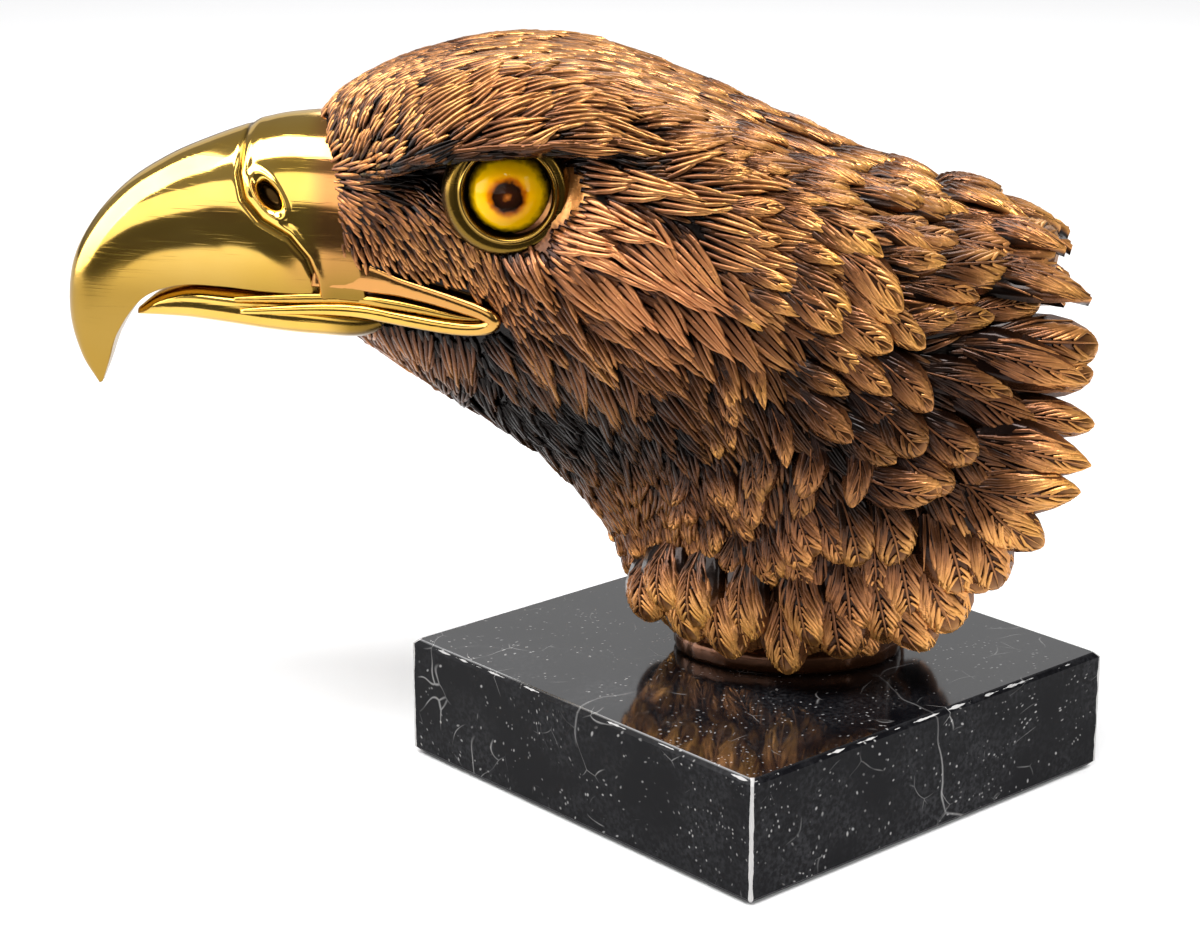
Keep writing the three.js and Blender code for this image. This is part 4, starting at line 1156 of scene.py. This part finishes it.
class Hanging:
    """Feathers that hang free: each lies on its own plane from root to tip, with an arch outwards."""

    def __init__(self, root, tip, normal, arch):
        course = tip - root
        self.reach = np.linalg.norm(course, axis=1)
        self.root, self.course = root, course / self.reach[:, None]
        self.aside = unit(np.cross(normal, self.course))
        self.normal = np.cross(self.course, self.aside)
        self.arch = arch

    def both_sides(self):
        """The same feathers with their mirror images after them."""
        flip = np.array([1, -1, 1])
        for name, sign in (("root", 1), ("course", 1), ("aside", -1), ("normal", 1)):
            value = getattr(self, name)
            setattr(self, name, np.concatenate([value, sign * value * flip]))
        self.reach = np.concatenate([self.reach, self.reach])
        return self

    def lay(self, u, v, turn, x, y, height):
        """Points x along each feather, y across it and height off it."""
        shape = (slice(None),) + (None,) * (x.ndim - 1)
        share = np.clip(x / self.reach[shape], 0, 1)
        height = height + self.arch * 4 * share * (1 - share)
        full = shape + (slice(None),)
        return self.root[full] + x[..., None] * self.course[full] + y[..., None] * self.aside[full] \
            + height[..., None] * self.normal[full]


class SCULPTURE_OT_feathers(bpy.types.Operator):
    """The overlapping feathers of the neck, from small ones behind the cheek to the wide ones of the rim"""
    bl_idname = "sculpture.feathers"
    bl_label = "Neck feathers"

    def execute(self, context):
        skin = head_surface()
        settings = context.scene.sculpture
        rng = np.random.default_rng(settings.seed + 1)
        for name, rows in (("upper_feathers", UPPER_ROWS), ("lower_feathers", LOWER_ROWS)):
            soup = Soup()
            for station, width, length in rows:
                self.row(soup, skin, settings.barbs, rng, station, width, length)
            make_piece(name, soup, bronze())
        self.rim(skin, settings, rng)
        return {"FINISHED"}

    def row(self, soup, skin, barbs, rng, station, width, length):
        """One row of feathers round the neck, smaller towards the throat and more pointed at the nape."""
        u, v = rows_of_places(skin, [station], 0.74 * width, rng, 0.5)
        v = np.mod(v + rng.uniform(0, 1), 2 * RUNGS)
        u = u + rng.uniform(-0.10, 0.10, len(u))
        p = skin.at(u, v)
        keep = (p[:, 0] > -20) | (p[:, 2] < 70)
        u, v, p = u[keep], v[keep], p[keep]
        count = len(u)
        turn = lie_at(skin, u, v) + rng.normal(0, 0.12, count)
        size = rng.uniform(0.82, 1.15, count) * (0.62 + 0.38 * smoothstep(-22, 14, p[:, 0]))
        widths = width * size * rng.uniform(0.9, 1.2, count)
        lift = (1.0 + 0.20 * width) * size * rng.uniform(0.7, 1.25, count)
        bend = rng.uniform(-0.18, 0.14, count) * length
        tone = rng.uniform(0, 0.3, count)
        sharp = 0.9 - 0.011 * width ** 2 + rng.uniform(-0.3, 0.3, count)
        sharp = sharp + 0.5 * smoothstep(80, 120, p[:, 2])
        # The feathers keep at least 0.3 of their brightness under the painted shade of the throat and neck
        add_feathers(soup, skin, u, v, turn, length * size, widths, lift, round(0.065 * width * barbs), rng,
                     bend=bend, tone=tone, sharp=np.clip(sharp, 0, 1),
                     worn_and_lit=0.3 + 0.7 * unshaded_share(p[:, 0], p[:, 2]))

    def rim(self, skin, settings, rng):
        """The free feathers along the neck's rim, from the nape round to the foot."""
        tips = np.array(RIM_TIPS, float)
        between = (tips[FIRST_HANGING:-1] + tips[FIRST_HANGING + 1:]) / 2
        tips = np.concatenate([tips, between + SECOND_ROW])
        tips = tips + rng.uniform(-1, 1, tips.shape) * RIM_STRAY
        angle, length = np.radians(tips[:, 2]), tips[:, 3]
        fall = RIM_SLANT * (tips[:, 4] - RIM_DEPTH)
        u, v = place_of(skin, tips[:, 0] - length * np.cos(angle),
                        tips[:, 1] - length * np.sin(angle) - fall)
        root = skin.at(u, v, -1.0)
        tip = np.stack([tips[:, 0], tips[:, 4], tips[:, 1] - fall], axis=1)
        hang = Hanging(root, tip, skin.sample(skin.normals, u, v), RIM_ARCH).both_sides()
        each = np.arange(len(hang.reach))
        widths = in_mm(settings.rim_width) * rng.uniform(0.78, 1.05, len(each))
        bend = rng.uniform(-0.10, 0.10, len(each)) * hang.reach
        tone = rng.uniform(0, 0.25, len(each))
        soup = Soup()
        add_feathers(soup, hang, each, each, each, hang.reach, widths, 1.0, settings.barbs, rng, bend=bend,
                     tone=tone, sharp=np.tile(0.75 * smoothstep(60, 100, tips[:, 1]), 2))
        make_piece("rim_feathers", soup, bronze())


def line_distance(x, z, line):
    """Distance from x, z to a polyline, and on which side of it they are: positive towards +X."""
    best = np.full(x.shape, 1e9)
    side = np.ones(x.shape)
    for (ax, az), (bx, bz) in zip(line[:-1], line[1:]):
        ux, uz = bx - ax, bz - az
        t = np.clip(((x - ax) * ux + (z - az) * uz) / (ux * ux + uz * uz), 0, 1)
        d = np.hypot(x - ax - t * ux, z - az - t * uz)
        cross = ux * (z - az) - uz * (x - ax)
        side = np.where(d < best, np.sign(cross), side)
        best = np.minimum(best, d)
    return best, side


class SCULPTURE_OT_beak(bpy.types.Operator):
    """The polished beak: the hooked upper one, with its cere proud of a groove and a rimmed nostril on
    each side, and the lower one"""
    bl_idname = "sculpture.beak"
    bl_label = "Beak"

    def execute(self, context):
        self.upper()
        self.lower()
        return {"FINISHED"}

    def upper(self):
        """The upper beak. Each section runs from the tomial edge at a = 0 to the culmen at a = 1: nearly
        upright below, and a superellipse above WIDEST. Cere, groove and nostril are steps and bells of the
        distance from their lines, laid along the normals."""
        t = np.concatenate([np.linspace(0, 3, 130, endpoint=False), np.linspace(3, 10, 131)])[:, None]
        a = np.linspace(0, 1, 100)
        tomium, culmen = along(TOMIUM, t[:, 0]), along(CULMEN, t[:, 0])
        width, bow = along(BEAK_HALF_WIDTH, t), along(BEAK_BOW, t)
        upper = np.sqrt(1 - np.clip((a - WIDEST) / (1 - WIDEST), 0, 1) ** 2.5)
        section = np.where(a > WIDEST, upper, 1 - 0.13 * np.clip((WIDEST - a) / WIDEST, 0, 1) ** 1.7)
        flat = tomium[:, None] + a[None, :, None] * (culmen - tomium)[:, None]
        x, z = flat[..., 0] - bow * 4 * a * (1 - a), flat[..., 1]
        side = np.stack([x, -np.maximum(width, 0.3) * section, z], axis=-1)
        edge, which = line_distance(x, z, CERE_EDGE)
        proud = 0.9 * smoothstep(0.1, 2.4, edge * which) + 0.5 * np.exp(-((edge * which - 2.2) / 1.1) ** 2)
        groove = -0.75 * np.exp(-(edge / 0.65) ** 2)
        px, pz = x - NOSTRIL[0], z - NOSTRIL[1]
        c, s = math.cos(NOSTRIL_TILT), math.sin(NOSTRIL_TILT)
        oval = np.hypot((px * c + pz * s) / NOSTRIL_HALF_SIZE[0], (-px * s + pz * c) / NOSTRIL_HALF_SIZE[1])
        hollow = -3.2 * (1 - smoothstep(0.45, 1.0, oval)) + 0.55 * np.exp(-((oval - 1.28) / 0.2) ** 2)
        normal = unit(np.cross(np.gradient(side, axis=1), np.gradient(side, axis=0)))
        fade = smoothstep(0, 0.25, 1 - a) * smoothstep(1.0, 2.2, np.abs(side[..., 1]))
        near = side + normal * ((proud + groove) * (0.25 + 0.75 * fade) + hollow * fade)[..., None]
        near[:, -1, 1] = 0
        far = near[:, -2::-1] * (1, -1, 1)
        arch = np.array([0, 0, 1.5]) * np.minimum(1, width / 8)[..., None]
        palate = (near[:, :1] + far[:, -1:]) / 2 + arch
        points = capped(np.concatenate([near, far, palate], axis=1))
        # Painted reflection: an olive band at z 131, the mirror image of the dark room, and darker below z
        # 136 to dim the floor's image; a little darker towards the beak's rear. The nostril and the cere's
        # groove are darkest.
        painted_reflection = 0.10 * np.exp(-((z - 131) / 6) ** 2) * smoothstep(-162, -140, x)
        painted_reflection = painted_reflection + 0.42 * (1 - smoothstep(118, 136, z)) + 0.12 * smoothstep(-106, -99, x)
        pit = painted_reflection + (1 - smoothstep(0.6, 0.95, oval)) * 0.95 + 0.55 * np.exp(-(edge / 0.45) ** 2)
        tint = 0.95 * smoothstep(-107, -100, x) + 0.55 * spot(x, z, (-108, 127), (4.5, 5))
        tint = tint + 0.35 * spot(x, z, (-126, 141), (7, 2.5))

        def around(value):
            """A value of the near side, carried round each section and over both ends."""
            value = np.clip(value, 0, 1)
            return with_ends(np.concatenate([value, value[:, -2::-1], value[:, :1]], axis=1))

        soup = Soup()
        soup.add(points, grid_faces(len(points), points.shape[1], wrap=True), tone=around(tint),
                 pit=around(pit))
        make_piece("upper_beak", soup, brass())

    def lower(self):
        """The lower beak: superellipses at stations from its point to inside the head, with a crease."""
        stations = np.array(MANDIBLE + [MANDIBLE_END], float)
        x, top, bottom, half = along(stations, np.linspace(0, len(stations) - 1, 90)).T[..., None]
        turn = np.linspace(0, 2 * math.pi, JAW_STEPS, endpoint=False)
        cosine, sine = np.cos(turn), np.sin(turn)
        height = (top + bottom) / 2 + 0.5 * (top - bottom) * np.sign(sine) * np.abs(sine) ** 0.8
        body = np.stack([x + 0 * turn, -half * np.sign(cosine) * np.abs(cosine) ** 0.75, height], axis=-1)
        line = np.interp(body[..., 0], [-130, -112, -95], [116.5, 116.8, 116.2])
        crease = np.exp(-((body[..., 2] - line) / 0.5) ** 2) * smoothstep(-128, -112, body[..., 0])
        body[..., 1] *= 1 - 0.06 * crease
        points = capped(body)
        # Painted shade: darker towards the rear, where the lower beak goes in under the throat; also darker
        # along the crease
        rear_shade = 0.55 * smoothstep(-106, -90, body[..., 0]) + 0.15
        soup = Soup()
        soup.add(points, grid_faces(len(points), JAW_STEPS, wrap=True)[:, ::-1], tone=0.05,
                 pit=np.clip(with_ends(crease) * 0.6 + with_ends(rear_shade), 0, 1))
        make_piece("lower_beak", soup, brass())


def evened(values, reach=5):
    """A list of vectors with each one averaged over its neighbours, ends kept."""
    padded = np.concatenate([np.repeat(values[:1], reach, 0), values, np.repeat(values[-1:], reach, 0)])
    return sum(padded[k:k + len(values)] for k in range(2 * reach + 1)) / (2 * reach + 1)


def tube_on_skin(soup, skin, line, radius, height, flat, tone, pit):
    """A roll laid on the skin, and on the side of the lower beak before it, along a line of x, z. Its
    radius, height and flatness, which is thickness as a share of width, run along it as lists, and so do
    its tone and its darkening for pits and painted shade."""
    t = np.linspace(0, len(line) - 1, ROLL_STEPS)
    x, z = along(line, t).T
    u, v = place_of(skin, np.maximum(x, -101.0), z)
    centre = skin.at(u, v, spaced(t, height))
    normal = skin.sample(skin.normals, u, v)
    beak = 1 - smoothstep(-97, -88, x)[:, None]
    jaw = np.array(MANDIBLE)
    lower = np.interp(x, jaw[:, 0], jaw[:, 3]) + 0.1
    upper = np.interp(x, *BEAK_SIDE.T)
    beside = np.stack([x, -np.where(z > 122, upper, lower), z], axis=1)
    centre = evened(centre + (beside - centre) * beak)
    normal = evened(normal + (np.array([0, -1.0, 0]) - normal) * beak)
    course = unit(np.gradient(centre, axis=0))
    aside = unit(np.cross(course, normal))
    turn = np.linspace(0, 2 * math.pi, ROLL_SIDES, endpoint=False)
    out = np.cos(turn)[None, :, None] * aside[:, None] \
        + spaced(t, flat)[:, None, None] * np.sin(turn)[None, :, None] * normal[:, None]
    points = capped(centre[:, None] + spaced(t, radius)[:, None, None] * out)
    soup.add(points, grid_faces(len(points), ROLL_SIDES, wrap=True),
             tone=np.repeat(with_ends(spaced(t, tone)), ROLL_SIDES),
             pit=np.repeat(with_ends(spaced(t, pit)), ROLL_SIDES))


class SCULPTURE_OT_mouth(bpy.types.Operator):
    """The rolled lips round the corner of the mouth, with a thin ridge between them"""
    bl_idname = "sculpture.mouth"
    bl_label = "Lips"

    def execute(self, context):
        skin = head_surface()
        radius = in_mm(context.scene.sculpture.lip_radius)
        soup = Soup()
        tube_on_skin(soup, skin, LOWER_LIP_LINE + UPPER_LIP_LINE,
                     radius=[share * radius for share in LIP_WIDTHS], height=[0.9, 1.2, 1.3, 0.7, -0.4],
                     flat=[0.85, 0.85, 0.85, 0.8, 0.45, 0.04], tone=[0.1, 0.1, 0.3, 0.7, 0.9, 1.0],
                     pit=[0.05, 0.1, 0.2, 0.25, 0.2, 0.2])
        tube_on_skin(soup, skin, INNER_LIP_LINE, radius=[0.6, 1.2, 1.4, 1.3, 1.0, 0.3],
                     height=[0.5, 0.6, 0.6, 0.1], flat=[0.8, 0.8], tone=[0.1, 0.3], pit=[0.2, 0.35])
        make_piece("lips", soup, brass(), mirror=True)
        return {"FINISHED"}


# Section of the eyelids: radius from the eye's axis and distance outwards, then how dark they are painted
# and their copper tone by numbers of these points. They are darkest at the inner edge against the ball:
# painted shade in the gap there.
LID_FOLD = [(9.5, 2.0), (9.75, 4.6), (10.0, 5.9), (10.5, 6.8), (10.9, 7.1), (11.2, 7.0), (11.5, 6.5),
            (11.7, 6.35), (12.1, 6.4), (12.6, 6.4), (13.2, 5.9), (13.8, 4.9), (14.3, 3.2), (14.6, 0.5),
            (12, -1)]
LID_PITS = np.array([(0, 1), (2, 0.95), (3, 0.6), (4, 0.25), (5, 0.35), (6, 0.6), (7, 0.7), (8, 0.55),
                     (9, 0.6), (14, 0.9)])
LID_TONES = np.array([(0, 0.1), (6, 0.3), (8, 0.8), (14, 1.0)])
# How much the lids widen towards their lower front, beyond this radius
LID_SWELL = 0.55
LID_SWELL_FROM = 11.5
EYE_STEPS = 64
BALL_STEPS = 32
# How far the painted iris lies inside the glass, in millimetres
GLASS_THICKNESS = 0.15


def lathe(profile, side, swell=0.0):
    """A ring turned about the eye's axis: profile of radius and distance outwards, closed. What a radius
    has over LID_SWELL_FROM grows by the share swell, as the square of a raised cosine round the axis."""
    turn = np.linspace(0, 2 * math.pi, EYE_STEPS, endpoint=False)
    radius, out = np.array(profile, float).T[..., None]
    rounded = (0.5 - 0.5 * np.cos(turn - 0.8)) ** 2
    radius = radius + swell * np.clip(radius - LID_SWELL_FROM, 0, None) * rounded
    return np.stack([EYE[0] + radius * np.cos(turn), side * (EYE_DEPTH + out) + 0 * turn,
                     EYE[1] + radius * np.sin(turn)], axis=-1)


class SCULPTURE_OT_eyes(bpy.types.Operator):
    """The eyes: a clear glass ball over a painted iris, in two folds of polished lid"""
    bl_idname = "sculpture.eyes"
    bl_label = "Eyes"

    def execute(self, context):
        radius = 0.5 * in_mm(context.scene.sculpture.eye_diameter)
        lids = Soup()
        ring = lathe(LID_FOLD, -1, LID_SWELL)
        closed = np.concatenate([ring, ring[:1]])
        point = np.arange(len(closed)) % len(LID_FOLD)
        pit, tone = (np.repeat(np.interp(point, *table.T), EYE_STEPS) for table in (LID_PITS, LID_TONES))
        lids.add(closed, grid_faces(len(closed), EYE_STEPS, wrap=True)[:, ::-1], tone=tone, pit=pit)
        make_piece("eyelids", lids, brass(), mirror=True)

        polar = np.linspace(0, math.pi, BALL_STEPS + 1)
        front = np.arange(BALL_STEPS + 1) <= BALL_STEPS // 2
        inner = radius - GLASS_THICKNESS
        outside = np.stack([radius * np.sin(polar), radius * np.cos(polar)], 1)
        inside = np.stack([inner * np.sin(polar), inner * np.cos(polar) * np.where(front, 0.995, 1.0)], 1)
        rings = np.where(front, inside[:, 0] * 1.03, 11.0)
        faces = grid_faces(BALL_STEPS + 1, EYE_STEPS, wrap=True)
        for name, side in (("left_glass_eye", -1), ("right_glass_eye", 1)):
            outward = faces if side > 0 else faces[:, ::-1]
            ball = Soup()
            ball.add(lathe(outside, side), outward)
            make_piece(name + "_ball", ball, glass(), node=name)
            painted = Soup()
            painted.add(lathe(inside, side), outward, ring=np.repeat(rings, EYE_STEPS))
            make_piece(name + "_iris", painted, iris(), node=name)
        return {"FINISHED"}


class SCULPTURE_OT_plinth(bpy.types.Operator):
    """The slab keeps its own shape and takes the marble"""
    bl_idname = "sculpture.plinth"
    bl_label = "Plinth"

    def execute(self, context):
        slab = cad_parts["marble_plinth"]
        slab.data.materials.clear()
        slab.data.materials.append(marble())
        return {"FINISHED"}


# Stage, in metres. The floor ends a little in front of the plinth, so that the beak's lower half mirrors
# the dark before it, and lies a hair under the plinth.
FLOOR_X = 30
FLOOR_FRONT = -0.21
FLOOR_BACK = 30
FLOOR_Z = -0.0005
# Lamps: name, place, point aimed at, size, watts, and whether it lights matt surfaces or only mirrors
LAMPS = (
    ("top softbox", (-0.30, -0.40, 0.95), (-0.05, 0, 0.12), (0.75, 0.5), 12.0, True),
    ("left softbox", (-0.92, -0.08, 0.48), (-0.15, 0, 0.14), (0.75, 1.0), 15.0, False),
    ("front card", (-0.75, -0.95, 0.36), (-0.12, 0, 0.14), (1.3, 0.55), 4.0, False),
    ("back card", (0.0, 1.6, 0.75), (0.0, 0, 0.10), (3.0, 0.9), 3.6, False),
    ("side softbox", (0.80, -0.75, 0.55), (0.0, 0, 0.10), (0.25, 0.8), 2.5, True),
    ("back softbox", (0.1, 0.9, 0.8), (0.0, 0, 0.10), (0.9, 0.4), 3.0, True))
SUN_STRENGTH = 1.7
SUN_ANGLE = 0.30
SUN_COURSE = (-0.45, 0.30, -1.0)
CAMERA_PLACE = (0, -0.69515, 0.29357)
CAMERA_PITCH = math.radians(17.34)
CAMERA_YAW = math.radians(3.15)
FOCAL_LENGTH = 90
# Greys of the room at the horizon and above
ROOM_LOW = (0.09, 0.09, 0.09, 1)
ROOM_HIGH = (0.26, 0.26, 0.265, 1)
ROOM_RISE = 0.16


def turned_to(course):
    """The rotation of a lamp or camera that looks along a course."""
    return Vector(course).to_track_quat("-Z", "Y").to_euler()


class SCULPTURE_OT_stage(bpy.types.Operator):
    """A white floor, soft lamps and the camera"""
    bl_idname = "sculpture.stage"
    bl_label = "Stage"

    def execute(self, context):
        scene = context.scene
        self.floor(scene)
        scene.world = self.room()
        for name, place, aim, size, power, matt in LAMPS:
            lamp = bpy.data.lights.new(name, "AREA")
            lamp.shape = "RECTANGLE"
            lamp.size, lamp.size_y = size
            lamp.energy = power
            holder = bpy.data.objects.new(name, lamp)
            holder.location = place
            holder.rotation_euler = turned_to(Vector(aim) - Vector(place))
            holder.visible_diffuse = matt
            scene.collection.objects.link(holder)
        sun = bpy.data.lights.new("key", "SUN")
        sun.energy, sun.angle = SUN_STRENGTH, SUN_ANGLE
        key = bpy.data.objects.new("key", sun)
        key.rotation_euler = turned_to(SUN_COURSE)
        scene.collection.objects.link(key)
        lens = bpy.data.cameras.new("camera")
        lens.lens = FOCAL_LENGTH
        lens.clip_start = 0.01
        camera = bpy.data.objects.new("camera", lens)
        camera.location = CAMERA_PLACE
        level = math.cos(CAMERA_PITCH)
        camera.rotation_euler = turned_to((-math.sin(CAMERA_YAW) * level, math.cos(CAMERA_YAW) * level,
                                           -math.sin(CAMERA_PITCH)))
        scene.collection.objects.link(camera)
        scene.camera = camera
        scene.view_settings.view_transform = "Standard"
        return {"FINISHED"}

    def floor(self, scene):
        """The pale floor, which isn't part of the object."""
        mesh = bpy.data.meshes.new("floor")
        corners = [(-FLOOR_X, FLOOR_FRONT), (FLOOR_X, FLOOR_FRONT), (FLOOR_X, FLOOR_BACK),
                   (-FLOOR_X, FLOOR_BACK)]
        mesh.from_pydata([(x, y, FLOOR_Z) for x, y in corners], [], [(0, 1, 2, 3)])
        floor = bpy.data.objects.new("floor", mesh)
        mesh.materials.append(Nodes("floor").finish(
            Base_Color=(0.93, 0.93, 0.93), Roughness=0.9, Specular_IOR_Level=0.1,
            Emission_Color=(1.0, 1.0, 1.0), Emission_Strength=0.08))
        scene.collection.objects.link(floor)

    def room(self):
        """A grey room that grows lighter from the horizon up."""
        world = bpy.data.worlds.new("studio")
        world.use_nodes = True
        tree = world.node_tree
        place = tree.nodes.new("ShaderNodeTexCoord")
        axes = tree.nodes.new("ShaderNodeSeparateXYZ")
        ramp = tree.nodes.new("ShaderNodeValToRGB")
        tree.links.new(place.outputs["Generated"], axes.inputs[0])
        tree.links.new(axes.outputs["Z"], ramp.inputs["Fac"])
        tree.links.new(ramp.outputs["Color"], tree.nodes["Background"].inputs["Color"])
        low, high = ramp.color_ramp.elements
        low.position, low.color = 0.0, ROOM_LOW
        high.position, high.color = ROOM_RISE, ROOM_HIGH
        return world


PIECES = (SCULPTURE_OT_skin, SCULPTURE_OT_strands, SCULPTURE_OT_feathers, SCULPTURE_OT_beak,
          SCULPTURE_OT_mouth, SCULPTURE_OT_eyes, SCULPTURE_OT_plinth, SCULPTURE_OT_stage)


class SCULPTURE_PT_panel(bpy.types.Panel):
    """Sizes and builders of the sculpture"""
    bl_idname = "SCULPTURE_PT_panel"
    bl_label = "Eagle's Head"
    bl_space_type = "VIEW_3D"
    bl_region_type = "UI"
    bl_category = "Eagle's Head"

    def draw(self, context):
        for settings in (context.scene.sculpture, context.scene.finishes):
            for name in settings.__annotations__:
                self.layout.prop(settings, name)
        for piece in PIECES:
            self.layout.operator(piece.bl_idname)


CLASSES = (SculptureSettings, FinishSettings, *PIECES, SCULPTURE_PT_panel)


def register():
    """Registers the classes, and hangs the settings on the scene."""
    for item in CLASSES:
        bpy.utils.register_class(item)
    bpy.types.Scene.sculpture = bpy.props.PointerProperty(type=SculptureSettings)
    bpy.types.Scene.finishes = bpy.props.PointerProperty(type=FinishSettings)


def unregister():
    """Takes the settings and the classes away again."""
    del bpy.types.Scene.finishes
    del bpy.types.Scene.sculpture
    for item in reversed(CLASSES):
        bpy.utils.unregister_class(item)


def main():
    """Builds every piece and the stage."""
    register()
    bpy.ops.sculpture.skin()
    bpy.ops.sculpture.strands()
    bpy.ops.sculpture.feathers()
    bpy.ops.sculpture.beak()
    bpy.ops.sculpture.mouth()
    bpy.ops.sculpture.eyes()
    bpy.ops.sculpture.plinth()
    bpy.ops.sculpture.stage()


if __name__ == "__main__":
    main()
